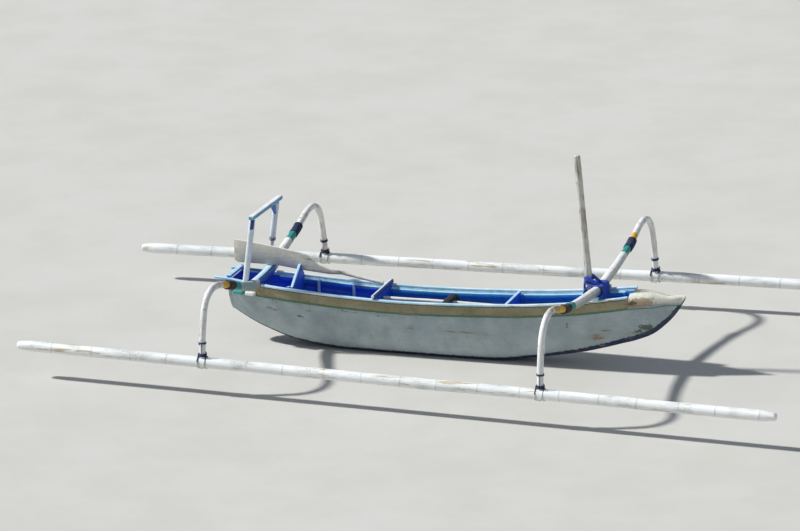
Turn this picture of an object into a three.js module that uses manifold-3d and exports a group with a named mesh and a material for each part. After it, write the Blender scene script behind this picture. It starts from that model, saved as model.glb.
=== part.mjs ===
// Outrigger canoe with two floats, in millimetres. +X is the bow, +Y is port, +Z is up.
// The hull stands upright on its flattened bottom at z = 0 and the booms are set about x = 0.
import * as THREE from 'three';
import Module from 'manifold-3d';

const wasm = await Module();
wasm.setup();
const { Manifold, Mesh: SolidMesh } = wasm;

// Colours, roughness of each finish
const FINISH = {
  hullWhite: ['#e6e8e6', 0.55],
  cream: ['#cfcfb4', 0.6],
  railBlue: ['#c3dbe6', 0.5],
  insideBlue: ['#2f63b5', 0.55],
  white: ['#eeeeea', 0.5],
  bamboo: ['#f0f0ec', 0.45],
  navyRope: ['#1f2c55', 0.9],
  brightRope: ['#2a63c8', 0.85],
  mastGrey: ['#c9cac5', 0.7],
  teal: ['#3aa39a', 0.6],
  bareWood: ['#b08a5e', 0.75],
  crutchBlue: ['#4f8fc4', 0.6],
};

// Hull: one row for each station from stern to bow
const STATION = ['x', 'half', 'sheer', 'keel', 'flat', 'power'];
const STATIONS = [
  [-2120, 186, 708, 330, 14, 1.8],
  [-1950, 213, 694, 235, 18, 1.9],
  [-1780, 233, 681.5, 160, 26, 2.0],
  [-1430, 256, 659, 55, 48, 2.1],
  [-900, 269, 631, 0, 72, 2.2],
  [-300, 270, 615, 0, 84, 2.2],
  [300, 264, 627, 0, 84, 2.2],
  [750, 257, 649, 0, 70, 2.1],
  [1120, 248, 671, 45, 50, 2.0],
  [1630, 228, 723, 135, 30, 1.8],
  [1900, 212, 763, 205, 22, 1.7],
  [2080, 193, 791, 260, 18, 1.6],
  [2210, 172, 812, 300, 16, 1.6],
  [2400, 122, 821, 385, 14, 1.6],
  [2560, 74, 796, 520, 12, 1.6],
  [2660, 44, 796, 640, 11, 1.6],
  [2735, 17, 802, 765, 10, 1.6],
];
const TRANSOM_X = -2120;
const TRANSOM_THICK = 30;
const BLOCK_X = 2180;
const BOW_X = 2735;
const GAP = 0.5;
const RAIL_HEIGHT = 22;
const RAIL_OUT = 16;
const RAIL_IN = 22;
const STRAKE_DEPTH = { most: 112, least: 62, from: 2390, to: 2570 };
const STRAKE_THICK = 22;
const STRAKE_PROUD = 5;
const WALL = 30;
const FLOOR_WALL = 45;
const HORN_X = { port: -2205, starboard: -2266 };
const CHOCK = { half: 64, high: 48 };
const BEVEL = { share: 0.62, most: 92 };
const DECK_RIM = 14;
const DECK_SINK = 20;
const STEM_DEPTH = 14;
const RISER = { thick: 30, high: 46, below: 62, ends: [-1690, 2060] };

// Booms, elbows and floats
const SETS = {
  rear: { x: -1785, foot: 1770, wide: [96, 72], deep: [106, 74],
    path: [[-948, 892], [-560, 752], [-400, 706], [-250, 690], [0, 692], [250, 718], [560, 806], [948, 892]],
    elbow: [[0, 0], [190, 62], [360, 106], [500, 108], [625, 62], [708, -30], [762, -180], [800, -350]] },
  front: { x: 1826, foot: 1930, wide: [86, 70], deep: [92, 72],
    path: [[-1075, 940], [-620, 869], [-250, 830], [0, 808], [250, 830], [620, 869], [1075, 940]],
    elbow: [[0, 0], [190, 62], [370, 114], [520, 118], [650, 66], [735, -30], [792, -190], [830, -370]] },
};
const BUTT = 4;
const LASH_CORE = 76;
const FOOT_CORE = 66;
const FLOAT_Z = 335;
const FLOAT_RADIUS = 55;
const FLOAT_ENDS = [-3840, 4250];
const FLOAT_SIDES = 24;
const ELBOW_THICK = [70, 64];
const LASH_LENGTH = 190;
const LASH_THICK = 10;
const FOOT_TURNS = [-46, 46];
const FOOT_TURN_WIDE = 32;
const FOOT_COLLAR = [-118, -60];
const FOOT_RING = [-255, -215];

// Mast, crutch and rudder
const MAST = { top: 2200, foot: 238, x: 1728, z: 860, rake: 0.069, radius: [38, 34] };
const MAST_HEAD = 34;
const MAST_SIDES = 20;
const STEP = { half: 95, wide: 62, top: 300 };
const PARTNER = { x: [1690, 1872], z: [590, 620] };
const POST = { low: 705, height: 1418, foot: -1860, head: -1746, thick: 60 };
const POSTS = { port: { y: 352, top: 1380 }, starboard: { y: -345, top: 1398 } };
const CROSSBAR = { ends: [-385, 451], tops: [1449, 1428], deep: 42, wide: 54 };
const RUDDER_Y = 165;
const RUDDER_THICK = 30;
const RUDDER = [
  [-2166, 1012], [-1950, 992], [-1668, 953], [-1450, 917], [-1352, 886], [-1306, 838], [-1223, 788],
  [-1120, 756], [-1000, 744], [-1000, 710], [-1130, 706], [-1420, 730], [-1716, 766], [-2130, 766], [-2168, 790],
];
const STOCK = { path: [[-993, 728], [-860, 705], [-722, 681], [-540, 652]], radius: 19 };
const BRACE = { reach: 96, drop: 120, thick: 26 };

// Fittings inside the hull and pads outside it
const STERN_BAR = { x: [-2128, -2078], half: 184, thick: 26 };
const POLE = { y: -40, z: 560, rise: 6, radius: 19, ends: [-470, 905] };
const SOLE = { ends: [-1172, 1000], half: 108, z: 106, thick: 13 };
const RIBS = [['rib_quarter', -1262], ['rib_middle', -882]];
const RIB = { half: 18, depth: 38, drop: 14 };
const SADDLE = {
  x: -1440,
  half: 14,
  line: [[-232, 668], [-190, 662], [-160, 640], [-120, 634], [-20, 706], [66, 757], [124, 799], [147, 797],
    [149, 726], [182, 724], [216, 690]],
};
const THWART = { x: [-513, -475], over: 20, high: 40 };
// Cross boards: name, x, thickness, lowest point, distance of the top below the sheer, finish
const BOARDS = [
  ['board_aft', -494, 26, 450, 0, 'insideBlue'],
  ['board_fore', 910, 30, 520, 4, 'railBlue'],
];
// Board whose top falls away on its port side
const SLOPED = { x: 255, thick: 60, low: 440, crest: [[70, 622], [236, 462]] };
const SHEAF = { x: [1676, 1900], half: 98, wall: 13 };
const PAD = { low: 556, high: 594, out: 52 };
const PADS = [['pad_aft', -2045, -1930, 'teal'], ['pad_fore', -1900, -1790, 'white']];

const parts = new THREE.Group();
parts.name = 'outrigger_canoe';

// Values along the hull, by a cubic through the stations
function slopeAt(i, column) {
  const a = STATIONS[Math.max(i - 1, 0)];
  const b = STATIONS[Math.min(i + 1, STATIONS.length - 1)];
  return (b[column] - a[column]) / (b[0] - a[0]);
}

function along(x, name) {
  const column = STATION.indexOf(name);
  const last = STATIONS.length - 2;
  const found = STATIONS.findIndex((row, i) => i <= last && x <= STATIONS[i + 1][0]);
  const i = found < 0 ? last : found;
  const [a, b] = [STATIONS[i], STATIONS[i + 1]];
  const span = b[0] - a[0];
  const t = (x - a[0]) / span;
  if (t < 0) return a[column] + (x - a[0]) * slopeAt(i, column);
  const [ta, tb] = [slopeAt(i, column) * span, slopeAt(i + 1, column) * span];
  const [t2, t3] = [t * t, t * t * t];
  return a[column] * (2 * t3 - 3 * t2 + 1) + ta * (t3 - 2 * t2 + t)
    + b[column] * (3 * t2 - 2 * t3) + tb * (t3 - t2);
}

const strakeTop = (x) => along(x, 'sheer') - RAIL_HEIGHT;
const strakeDepth = (x) => {
  const t = THREE.MathUtils.smoothstep(x, STRAKE_DEPTH.from, STRAKE_DEPTH.to);
  return STRAKE_DEPTH.most + (STRAKE_DEPTH.least - STRAKE_DEPTH.most) * t;
};
const split = (x) => strakeTop(x) - strakeDepth(x);
const keelAt = (x) => Math.max(along(x, 'keel'), 0);

// Half-breadth of the section at x and height z, moved in by side and up by floor
function breadth(x, z, side = 0, floor = 0) {
  const top = strakeTop(x);
  const low = keelAt(x) + floor;
  const power = along(x, 'power');
  const flat = along(x, 'flat');
  const full = along(x, 'half') - side;
  const down = Math.min(Math.max((top - z) / (top - low), 0), 1);
  return flat + (full - flat) * Math.pow(1 - Math.pow(down, power), 1 / power);
}

// Points of half a section from the keel up to a height
function halfSection(x, upTo, side, floor, count = 12) {
  const low = keelAt(x) + floor;
  return Array.from({ length: count }, (_, i) => {
    const s = 1 - Math.cos((i / (count - 1)) * Math.PI / 2);
    const z = low + (upTo - low) * s;
    return [breadth(x, z, side, floor), z];
  });
}

// Both halves of a section, port side first
function fullSection(x, upTo, side, floor, count = 12) {
  const half = halfSection(x, upTo, side, floor, count);
  const other = half.map(([y, z]) => [-y, z]);
  return [...half.reverse(), ...other];
}

// A closed body through rings that all have the same number of points
function loft(rings) {
  const count = rings[0].length;
  const flat = rings.flat();
  const index = [];
  for (let r = 0; r < rings.length - 1; r += 1) {
    for (let i = 0; i < count; i += 1) {
      const a = r * count + i;
      const b = r * count + ((i + 1) % count);
      index.push(a, b, b + count, a, b + count, a + count);
    }
  }
  const cap = (ring, base, turn) => {
    const points = ring.map((p) => new THREE.Vector3(...p));
    const normal = new THREE.Vector3();
    points.forEach((p, i) => normal.add(p.clone().cross(points[(i + 1) % count])));
    normal.normalize();
    const side = Math.abs(normal.z) > 0.9 ? new THREE.Vector3(1, 0, 0) : new THREE.Vector3(0, 0, 1);
    const u = side.clone().cross(normal).normalize();
    const v = normal.clone().cross(u);
    const outline = points.map((p) => new THREE.Vector2(p.dot(u), p.dot(v)));
    THREE.ShapeUtils.triangulateShape(outline, []).forEach(([a, b, c]) => {
      index.push(...(turn ? [base + a, base + c, base + b] : [base + a, base + b, base + c]));
    });
  };
  cap(rings[0], 0, true);
  cap(rings.at(-1), (rings.length - 1) * count, false);
  const geometry = new THREE.BufferGeometry();
  geometry.setAttribute('position', new THREE.Float32BufferAttribute(flat.flat(), 3));
  geometry.setIndex(index);
  return outward(geometry);
}

// Turns the faces outward where the volume comes out negative
function outward(geometry) {
  const p = geometry.getAttribute('position');
  const index = geometry.getIndex().array;
  const [a, b, c] = [new THREE.Vector3(), new THREE.Vector3(), new THREE.Vector3()];
  let volume = 0;
  for (let i = 0; i < index.length; i += 3) {
    a.fromBufferAttribute(p, index[i]);
    b.fromBufferAttribute(p, index[i + 1]);
    c.fromBufferAttribute(p, index[i + 2]);
    volume += a.dot(b.cross(c));
  }
  if (volume < 0) {
    const turned = [];
    for (let i = 0; i < index.length; i += 3) turned.push(index[i], index[i + 2], index[i + 1]);
    geometry.setIndex(turned);
  }
  return geometry;
}

function smooth(points) {
  return new THREE.CatmullRomCurve3(points.map((p) => new THREE.Vector3(...p)), false, 'centripetal');
}

// A bent timber: oval rings along a smooth curve in the plane whose normal is given
function timber(path, normal, wide, deep, steps = 24, sides = 16, power = 2) {
  const curve = path.getPointAt ? path : smooth(path);
  const n = new THREE.Vector3(...normal);
  const rings = [];
  for (let s = 0; s <= steps; s += 1) {
    const t = s / steps;
    const centre = curve.getPointAt(t);
    const across = curve.getTangentAt(t).cross(n).normalize();
    const [w, d] = [sizeAt(wide, t) / 2, sizeAt(deep, t) / 2];
    rings.push(Array.from({ length: sides }, (_, i) => {
      const angle = (i / sides) * Math.PI * 2;
      const [c, q] = [Math.cos(angle), Math.sin(angle)];
      const [cu, qu] = [c, q].map((v) => Math.sign(v) * Math.pow(Math.abs(v), 2 / power));
      return centre.clone().addScaledVector(n, w * cu).addScaledVector(across, d * qu).toArray();
    }));
  }
  return loft(rings);
}

function sizeAt(sizes, t) {
  if (typeof sizes === 'function') return sizes(t);
  if (!Array.isArray(sizes)) return sizes;
  const at = t * (sizes.length - 1);
  const i = Math.min(Math.floor(at), sizes.length - 2);
  return sizes[i] + (sizes[i + 1] - sizes[i]) * (at - i);
}

function block(x0, x1, y0, y1, z0, z1) {
  const ring = (x) => [[x, y0, z0], [x, y1, z0], [x, y1, z1], [x, y0, z1]];
  return loft([ring(x0), ring(x1)]);
}

function solid(geometry) {
  return new Manifold(new SolidMesh({
    numProp: 3,
    vertProperties: new Float32Array(geometry.getAttribute('position').array),
    triVerts: new Uint32Array(geometry.getIndex().array),
  }));
}

function surface(manifold) {
  const mesh = manifold.getMesh();
  const geometry = new THREE.BufferGeometry();
  geometry.setAttribute('position', new THREE.BufferAttribute(new Float32Array(mesh.vertProperties), 3));
  geometry.setIndex(new THREE.BufferAttribute(new Uint32Array(mesh.triVerts), 1));
  return geometry;
}

function cut(geometry, ...tools) {
  return surface(tools.reduce((body, tool) => body.subtract(solid(tool)), solid(geometry)));
}

function join(...geometries) {
  return surface(geometries.slice(1).reduce((body, g) => body.add(solid(g)), solid(geometries[0])));
}

function mirrored(geometry) {
  const copy = geometry.clone();
  copy.scale(1, -1, 1);
  return outward(copy);
}

function place(name, geometry, finish) {
  const [color, roughness] = FINISH[finish];
  const shown = geometry.toNonIndexed();
  shown.computeVertexNormals();
  const mesh = new THREE.Mesh(shown, new THREE.MeshStandardMaterial({ color, roughness, metalness: 0 }));
  mesh.name = name;
  parts.add(mesh);
}

function placeBoth(name, geometry, finish) {
  place(`${name}_port`, geometry, finish);
  place(`${name}_starboard`, mirrored(geometry), finish);
}

// A port part and its mirror image, each cut by tools that are mirrored with it and by tools that stay
function placeSides(name, geometry, turned, fixed, finish) {
  place(`${name}_port`, cut(geometry, ...turned, ...fixed), finish);
  place(`${name}_starboard`, cut(mirrored(geometry), ...turned.map(mirrored), ...fixed), finish);
}

function stations(from, to, count) {
  return Array.from({ length: count }, (_, i) => from + ((to - from) * i) / (count - 1));
}

// Booms and elbows, with fuller copies that cut their clearances
const toe = (SETS.front.foot - SETS.rear.foot) / (SETS.front.x - SETS.rear.x);
const floatY = (x) => SETS.rear.foot + (x - SETS.rear.x) * toe;
function boomCurve(name) {
  const { x, path } = SETS[name];
  return smooth(path.map(([y, z]) => [x, y, z]));
}

function elbowCurve(name) {
  const { x, foot, path, elbow } = SETS[name];
  const [jointY, jointZ] = path.at(-1);
  return smooth([...elbow.map(([y, z]) => [x, jointY + BUTT + y, jointZ + z]), [x, foot, FLOAT_Z]]);
}

// A stretch of a curve between two arc lengths, each counted back from its end when negative
function stretch(curve, from, to, count = 5) {
  const length = curve.getLength();
  return stations(from, to, count).map((s) => curve.getPointAt((s < 0 ? length + s : s) / length).toArray());
}

function boomBody(name, grow = 0) {
  const swell = (t) => Math.pow(Math.cos((t - 0.5) * Math.PI), 1.2);
  const middle = ([most, end]) => (t) => end + (most - end) * swell(t) + grow;
  return timber(boomCurve(name), [1, 0, 0], middle(SETS[name].wide), middle(SETS[name].deep), 22, 14, 2.6);
}

function elbowBody(name, grow = 0) {
  const size = ELBOW_THICK.map((v) => v + grow);
  return timber(elbowCurve(name), [1, 0, 0], size, size, 22, 12);
}

function floatBody(grow = 0) {
  const [from, to] = FLOAT_ENDS;
  const length = to - from;
  const size = (t) => {
    const end = Math.min(t, 1 - t) * length;
    const taper = 0.62 + 0.38 * Math.min(end / 160, 1);
    return 2 * FLOAT_RADIUS * taper + grow;
  };
  const steps = [0, 0.01, 0.02, 0.98, 0.99, 1];
  const rings = steps.map((t) => Array.from({ length: FLOAT_SIDES }, (_, i) => {
    const angle = (i / FLOAT_SIDES) * Math.PI * 2;
    const x = from + length * t;
    return [x, floatY(x) + Math.cos(angle) * size(t) / 2, FLOAT_Z + Math.sin(angle) * size(t) / 2];
  }));
  return loft(rings);
}

const boomClear = { rear: boomBody('rear', 2 * GAP), front: boomBody('front', 2 * GAP) };
const floatClear = floatBody(2 * GAP);

// Dugout bottom, raised strakes, transom and bow block
const shellXs = stations(TRANSOM_X + TRANSOM_THICK + GAP, BLOCK_X - GAP, 26);
function shellBody(grow = 0) {
  return loft(shellXs.map((x) => {
    const outer = fullSection(x, split(x) + grow, 0, 0, 11);
    const inner = fullSection(x, split(x) + grow, WALL + grow, FLOOR_WALL + grow, 9).reverse();
    return [...outer, ...inner].map(([y, z]) => [x, y, z]);
  }));
}

function strakeBody(grow = 0) {
  return loft(shellXs.map((x) => {
    const [low, high] = [split(x) + GAP, strakeTop(x) - GAP + grow];
    const rows = [0, 0.5, 1].map((t) => low + (high - low) * t);
    const outer = rows.map((z) => [x, breadth(x, z) + STRAKE_PROUD, z]);
    const inner = rows.map((z) => [x, breadth(x, z) - STRAKE_THICK - grow, z]).reverse();
    return [...outer, ...inner];
  }));
}
place('dugout_hull', shellBody(), 'hullWhite');
placeSides('strake', strakeBody(), [], Object.values(boomClear), 'cream');
const strakeClear = strakeBody(GAP);
const hullClear = [shellBody(GAP), strakeClear, mirrored(strakeClear)];

const transomRing = (x) => fullSection(x, strakeTop(x) - 4 * GAP, -2, 0, 12).map(([y, z]) => [x, y, z]);
const transom = loft(stations(TRANSOM_X, TRANSOM_X + TRANSOM_THICK, 3).map(transomRing));
place('transom_board', transom, 'insideBlue');

place('bow_block', loft(stations(BLOCK_X, BOW_X, 18).map((x) => {
  const top = along(x, 'sheer');
  const low = Math.max(split(x), keelAt(x) + STEM_DEPTH);
  const half = breadth(x, low);
  const inset = Math.min(half * BEVEL.share, BEVEL.most);
  const rim = Math.min(DECK_RIM, (half - inset) * 0.4);
  const sink = DECK_SINK * Math.min((BOW_X - x) / 200, 1);
  const outer = fullSection(x, low, 0, 0, 11);
  const edge = half - inset;
  const bevel = stations(0, 1, 5).slice(1, -1).map((t) => [
    half - (inset - rim) * (1 - Math.cos((t * Math.PI) / 2)), low + (top - 6 - low) * Math.sin((t * Math.PI) / 2)]);
  const deck = [[-edge - rim, top - 6], [-edge, top], [-(edge - rim), top - 2], [-(edge - rim - 2), top - sink - 3],
    [edge - rim - 2, top - sink - 3], [edge - rim, top - 2], [edge, top], [edge + rim, top - 6]];
  return [...outer, ...bevel.map(([y, z]) => [-y, z]), ...deck, ...bevel.reverse()].map(([y, z]) => [x, y, z]);
})), 'hullWhite');

function railBody(from, to, count) {
  return loft(stations(from, to, count).map((x) => {
    const at = Math.max(x, TRANSOM_X);
    const [low, high] = [strakeTop(at), along(at, 'sheer')];
    const half = along(x, 'half');
    return [[x, half - RAIL_IN, low], [x, half + RAIL_OUT, low], [x, half + RAIL_OUT, high - 5],
      [x, half + RAIL_OUT - 5, high], [x, half - RAIL_IN + 5, high], [x, half - RAIL_IN, high - 5]];
  }));
}
const railStart = SETS.rear.x + SETS.rear.wide[0] / 2 + 3;
const hornStart = SETS.rear.x - SETS.rear.wide[0] / 2 - 3;
const chockHalf = along(SETS.front.x, 'half');
const chockLow = along(SETS.front.x, 'sheer') - 8;
const chock = block(SETS.front.x - CHOCK.half, SETS.front.x + CHOCK.half,
  chockHalf - RAIL_IN + 2, chockHalf + RAIL_OUT - 2, chockLow, chockLow + CHOCK.high);
const rail = join(railBody(railStart, BLOCK_X - GAP, 24), chock);
placeBoth('gunwale_rail', cut(rail, boomClear.front), 'railBlue');
place('stern_horn_port', railBody(HORN_X.port, hornStart, 14), 'railBlue');
place('stern_horn_starboard', mirrored(railBody(HORN_X.starboard, hornStart, 14)), 'railBlue');

// Cross members inside the hull
const sternTop = along(STERN_BAR.x[0], 'sheer');
const sternBar = block(...STERN_BAR.x, -STERN_BAR.half, STERN_BAR.half, sternTop + GAP, sternTop + STERN_BAR.thick);
place('stern_crossbar', sternBar, 'railBlue');

// Risers along the inside of the strakes
function riserBody(grow = 0) {
  return loft(stations(...RISER.ends, 18).map((x) => {
    const low = strakeTop(x) - RISER.below;
    const out = breadth(x, low) - STRAKE_THICK - 3 * GAP;
    const [y0, y1] = [out - RISER.thick - grow, out + grow];
    const [z0, z1] = [low - grow, low + RISER.high + grow];
    return [[x, y0, z0], [x, y1, z0], [x, y1, z1], [x, y0, z1]];
  }));
}
placeBoth('riser', cut(riserBody(), strakeClear), 'railBlue');
const riserClear = [riserBody(GAP), mirrored(riserBody(GAP))];

// Pole stowed fore and aft, and floor boards
function poleBody(grow = 0) {
  const size = 2 * POLE.radius + grow;
  const [from, to] = [POLE.ends[0] - grow, POLE.ends[1] + grow];
  const points = [[from, POLE.y, POLE.z], [(from + to) / 2, POLE.y, POLE.z + POLE.rise], [to, POLE.y, POLE.z]];
  return timber(points, [0, 1, 0], size, size, 6, 12);
}
place('stowed_pole', poleBody(), 'white');

place('floor_boards', block(...SOLE.ends, -SOLE.half, SOLE.half, SOLE.z, SOLE.z + SOLE.thick), 'insideBlue');
const soleClear = block(SOLE.ends[0] - 1, SOLE.ends[1] + 1,
  -SOLE.half - GAP, SOLE.half + GAP, SOLE.z - GAP, SOLE.z + 80);

// Ribs that follow the inner side of the hull, their floors under the floor boards
for (const [name, x] of RIBS) {
  const rings = stations(x - RIB.half, x + RIB.half, 3).map((at) => {
    const top = strakeTop(at) - RIB.drop;
    const outer = fullSection(at, top, WALL - 3, FLOOR_WALL - 3, 9);
    const inner = fullSection(at, top, WALL + RIB.depth, SOLE.z - GAP - keelAt(at), 9).reverse();
    return [...outer, ...inner].map(([y, z]) => [at, y, z]);
  });
  place(name, cut(loft(rings), ...hullClear, soleClear, ...riserClear), 'insideBlue');
}

// Saddle bulkhead that the rudder lies in, with a horn inboard of it
place('saddle_bulkhead', cut(loft(stations(SADDLE.x - SADDLE.half, SADDLE.x + SADDLE.half, 2).map((at) => {
  const top = strakeTop(at) - 1;
  const outer = fullSection(at, top, WALL - 3, FLOOR_WALL - 3, 9);
  const reach = along(at, 'half') - RAIL_IN - 3;
  const crest = [[-reach, top], [-reach, top + 9], ...SADDLE.line, [reach, top + 9], [reach, top]];
  return [...outer, ...crest].map(([y, z]) => [at, y, z]);
})), ...hullClear, ...riserClear), 'insideBlue');

// Thwart across the rails and boards that fill the hull below it
const thwartX = (THWART.x[0] + THWART.x[1]) / 2;
const thwartLow = along(thwartX, 'sheer') + 2 * GAP;
const thwartHalf = along(thwartX, 'half') + THWART.over;
place('thwart_aft', block(...THWART.x, -thwartHalf, thwartHalf, thwartLow, thwartLow + THWART.high), 'white');

const slopedTop = along(SLOPED.x, 'sheer');
const slopedReach = along(SLOPED.x, 'half') - RAIL_IN - 1;
const sloped = [[-slopedReach, SLOPED.low], [-slopedReach, slopedTop], ...SLOPED.crest, [slopedReach, SLOPED.low]];
place('board_middle', cut(loft([-1, 1].map((s) => sloped.map(([y, z]) => [SLOPED.x + (s * SLOPED.thick) / 2, y, z]))),
  ...hullClear, ...riserClear, poleBody(2 * GAP)), 'bareWood');

for (const [name, x, thick, low, below, finish] of BOARDS) {
  const high = along(x, 'sheer') - below;
  const wide = along(x, 'half') - RAIL_IN - 1;
  const body = block(x - thick / 2, x + thick / 2, -wide, wide, low, high);
  place(name, cut(body, ...hullClear, ...riserClear, poleBody(2 * GAP)), finish);
}

// Floats, booms and elbows
placeBoth('float', floatBody(), 'bamboo');
for (const name of ['rear', 'front']) {
  place(`${name}_boom`, boomBody(name), 'white');
  placeSides(`${name}_elbow`, elbowBody(name), [floatClear], [boomClear[name]], 'white');
}

// Rope wrapped in turns round a timber
function wrap(points, thick, turns) {
  const size = (t) => thick + 2 * LASH_THICK * (0.55 + 0.45 * Math.abs(Math.sin(t * Math.PI * turns)));
  return timber(points, [1, 0, 0], size, size, turns * 2, 14);
}
for (const name of ['rear', 'front']) {
  const { x, foot } = SETS[name];
  const reach = LASH_LENGTH / 2;
  const joint = [...stretch(boomCurve(name), -reach, -1, 4), ...stretch(elbowCurve(name), 1, reach, 4)];
  const butt = [...stretch(boomCurve(name), -12, -1, 2), ...stretch(elbowCurve(name), 1, 12, 2)];
  const elbowClear = elbowBody(name, 2 * GAP);
  const core = timber(butt, [1, 0, 0], LASH_CORE, LASH_CORE, 4, 16);
  placeSides(`${name}_elbow_lashing`, wrap(joint, LASH_CORE, 5), [elbowClear, core], [boomClear[name]], 'navyRope');

  const thick = 2 * (FLOAT_RADIUS + LASH_THICK);
  const turns = FOOT_TURNS.map((at) => {
    const ends = [at - FOOT_TURN_WIDE / 2, at + FOOT_TURN_WIDE / 2].map((d) => [x + d, floatY(x + d), FLOAT_Z]);
    return timber(ends, [0, 0, 1], thick, thick, 1, 20);
  });
  const collar = wrap(stretch(elbowCurve(name), ...FOOT_COLLAR), FOOT_CORE, 2);
  const ring = wrap(stretch(elbowCurve(name), ...FOOT_RING), FOOT_CORE, 2);
  const strand = timber(stretch(elbowCurve(name), FOOT_RING[1] - 4, FOOT_COLLAR[0] + 4, 3)
    .map(([a, b, c]) => [a + FOOT_CORE / 2 + 3, b, c]), [1, 0, 0], 12, 12, 2, 6);
  const top = FLOAT_Z + FLOAT_RADIUS;
  const bridge = block(x - 60, x + 60, foot - 32, foot + 32, top - 14, top + 16);
  const lashing = join(collar, ring, strand, bridge, ...turns);
  placeBoth(`${name}_foot_lashing`, cut(lashing, floatClear, elbowClear), 'navyRope');
}

// Mast in its step, through its partner and lashed to the front boom
const mastX = (z) => MAST.x - (z - MAST.z) * MAST.rake;
function mastBody(grow = 0) {
  const [low, high] = [MAST.foot - grow / 2, MAST.top];
  const size = (t) => {
    const fromTop = (1 - t) * (high - low);
    const round = Math.sqrt(1 - Math.pow(1 - Math.min(fromTop / MAST_HEAD, 1), 2) * 0.75);
    return 2 * sizeAt(MAST.radius, t) * round + grow;
  };
  const heights = [0, 0.3, 0.6, 0.9, 1 - MAST_HEAD / (high - low), 1 - (0.45 * MAST_HEAD) / (high - low), 1];
  const n = new THREE.Vector3(MAST.rake, 0, 1).normalize();
  const across = new THREE.Vector3(0, 1, 0).cross(n);
  return loft(heights.map((t) => {
    const z = low + (high - low) * t;
    return Array.from({ length: MAST_SIDES }, (_, i) => {
      const angle = (i / MAST_SIDES) * Math.PI * 2;
      const [c, q] = [Math.cos(angle), Math.sin(angle)].map((v) => (v * size(t)) / 2);
      return [mastX(z) + across.x * c, q, z + across.z * c];
    });
  }));
}
place('mast', mastBody(), 'mastGrey');
const mastClear = mastBody(2 * GAP);

const stepX = mastX(MAST.foot);
const step = loft(stations(stepX - STEP.half, stepX + STEP.half, 5).map((x) => {
  const floor = keelAt(x) + FLOOR_WALL - 3;
  const [low, high] = [along(x, 'flat'), Math.min(STEP.wide, along(x, 'flat') + 20)];
  return [[x, -low, floor], [x, low, floor], [x, high, STEP.top], [x, -high, STEP.top]];
}));
place('mast_step', cut(step, mastClear, ...hullClear), 'bareWood');

const partnerHalf = breadth(PARTNER.x[1], PARTNER.z[0]) - STRAKE_THICK + 4;
const partner = block(...PARTNER.x, -partnerHalf, partnerHalf, ...PARTNER.z);
place('mast_partner', cut(partner, mastClear, ...hullClear), 'insideBlue');

// Rope that holds boom and mast down to the partner
const boomZ = SETS.front.path.find(([y]) => y === 0)[1];
const boomHalf = SETS.front.deep[0] / 2;
const sheafZ = [PARTNER.z[0] - SHEAF.wall, boomZ + boomHalf + SHEAF.wall];
const sheafOuter = block(...SHEAF.x, -SHEAF.half, SHEAF.half, ...sheafZ);
const [sheafA, sheafB] = [SHEAF.x[0] + SHEAF.wall, SHEAF.x[1] - SHEAF.wall];
const sheafHole = block(sheafA, sheafB, -SHEAF.half - 5, SHEAF.half + 5, PARTNER.z[0] - GAP, boomZ - boomHalf - 4);
const collarTop = block(mastX(boomZ) - 54, SETS.front.x, -54, 54, boomZ - 30, boomZ + boomHalf + 48);
place('mast_lashing', cut(join(sheafOuter, collarTop), sheafHole, boomClear.front, mastClear), 'brightRope');

// Crutch over the stern, one post braced to the sloping crossbar
const headX = (z) => POST.foot + ((POST.head - POST.foot) * (z - POST.low)) / (POST.height - POST.low);
for (const [side, { y, top }] of Object.entries(POSTS)) {
  const points = [POST.low, (POST.low + top) / 2, top].map((z) => [headX(z), y, z]);
  const post = timber(points, [0, 1, 0], POST.thick, POST.thick, 6, 16);
  place(`crutch_post_${side}`, cut(post, boomClear.rear), 'white');
}
const barX = [headX(POST.height) - CROSSBAR.wide / 2, headX(POST.height) + CROSSBAR.wide / 2];
const barRing = (i) => {
  const [y, top] = [CROSSBAR.ends[i], CROSSBAR.tops[i]];
  return [[barX[0], y, top - CROSSBAR.deep], [barX[1], y, top - CROSSBAR.deep], [barX[1], y, top], [barX[0], y, top]];
};
place('crutch_crossbar', loft([barRing(0), barRing(1)]), 'crutchBlue');
const inner = POSTS.port.y - POST.thick / 2 - 1;
const brace = (x) => [[x, inner, POSTS.port.top - 1], [x, inner - BRACE.reach, POSTS.port.top - 1],
  [x, inner, POSTS.port.top - BRACE.drop]];
const braceX = headX(POSTS.port.top - BRACE.drop / 2);
place('crutch_brace', loft([brace(braceX - BRACE.thick / 2), brace(braceX + BRACE.thick / 2)]), 'crutchBlue');

// Rudder stowed along the port quarter
const board = (y) => RUDDER.map(([x, z]) => [x, y, z]);
place('rudder_blade', loft([board(RUDDER_Y - RUDDER_THICK / 2), board(RUDDER_Y + RUDDER_THICK / 2)]), 'white');
const stockPoints = STOCK.path.map(([x, z]) => [x, RUDDER_Y, z]);
place('rudder_stock', timber(stockPoints, [0, 1, 0], 2 * STOCK.radius, 2 * STOCK.radius, 8, 16), 'white');

// Pads beneath the rear boom on the hull side
for (const [name, from, to, finish] of PADS) {
  place(name, mirrored(loft(stations(from, to, 4).map((x) => {
    const rows = [PAD.low, PAD.high];
    const inner = rows.map((z) => [x, breadth(x, z) + STRAKE_PROUD + 1, z]);
    const outer = rows.map((z) => [x, breadth(x, z) + STRAKE_PROUD + PAD.out, z]).reverse();
    return [...inner, ...outer];
  }))), finish);
}

// The frame's origin lies on the ground under the middle of the whole part
const box = new THREE.Box3().setFromObject(parts);
const shift = box.getCenter(new THREE.Vector3());
for (const mesh of parts.children) mesh.geometry.translate(-shift.x, -shift.y, -box.min.z);

export default parts;
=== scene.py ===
"""Outrigger canoe: its visible pieces and finishes, the stage and the camera.

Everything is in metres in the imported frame: +X is the bow, +Y is port, +Z is up.
Lengths that end in _MM, and the tables of the hull and the timbers, are in millimetres.
"""
import logging
import math
from dataclasses import dataclass, field
from enum import Enum
from typing import Sequence

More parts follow.
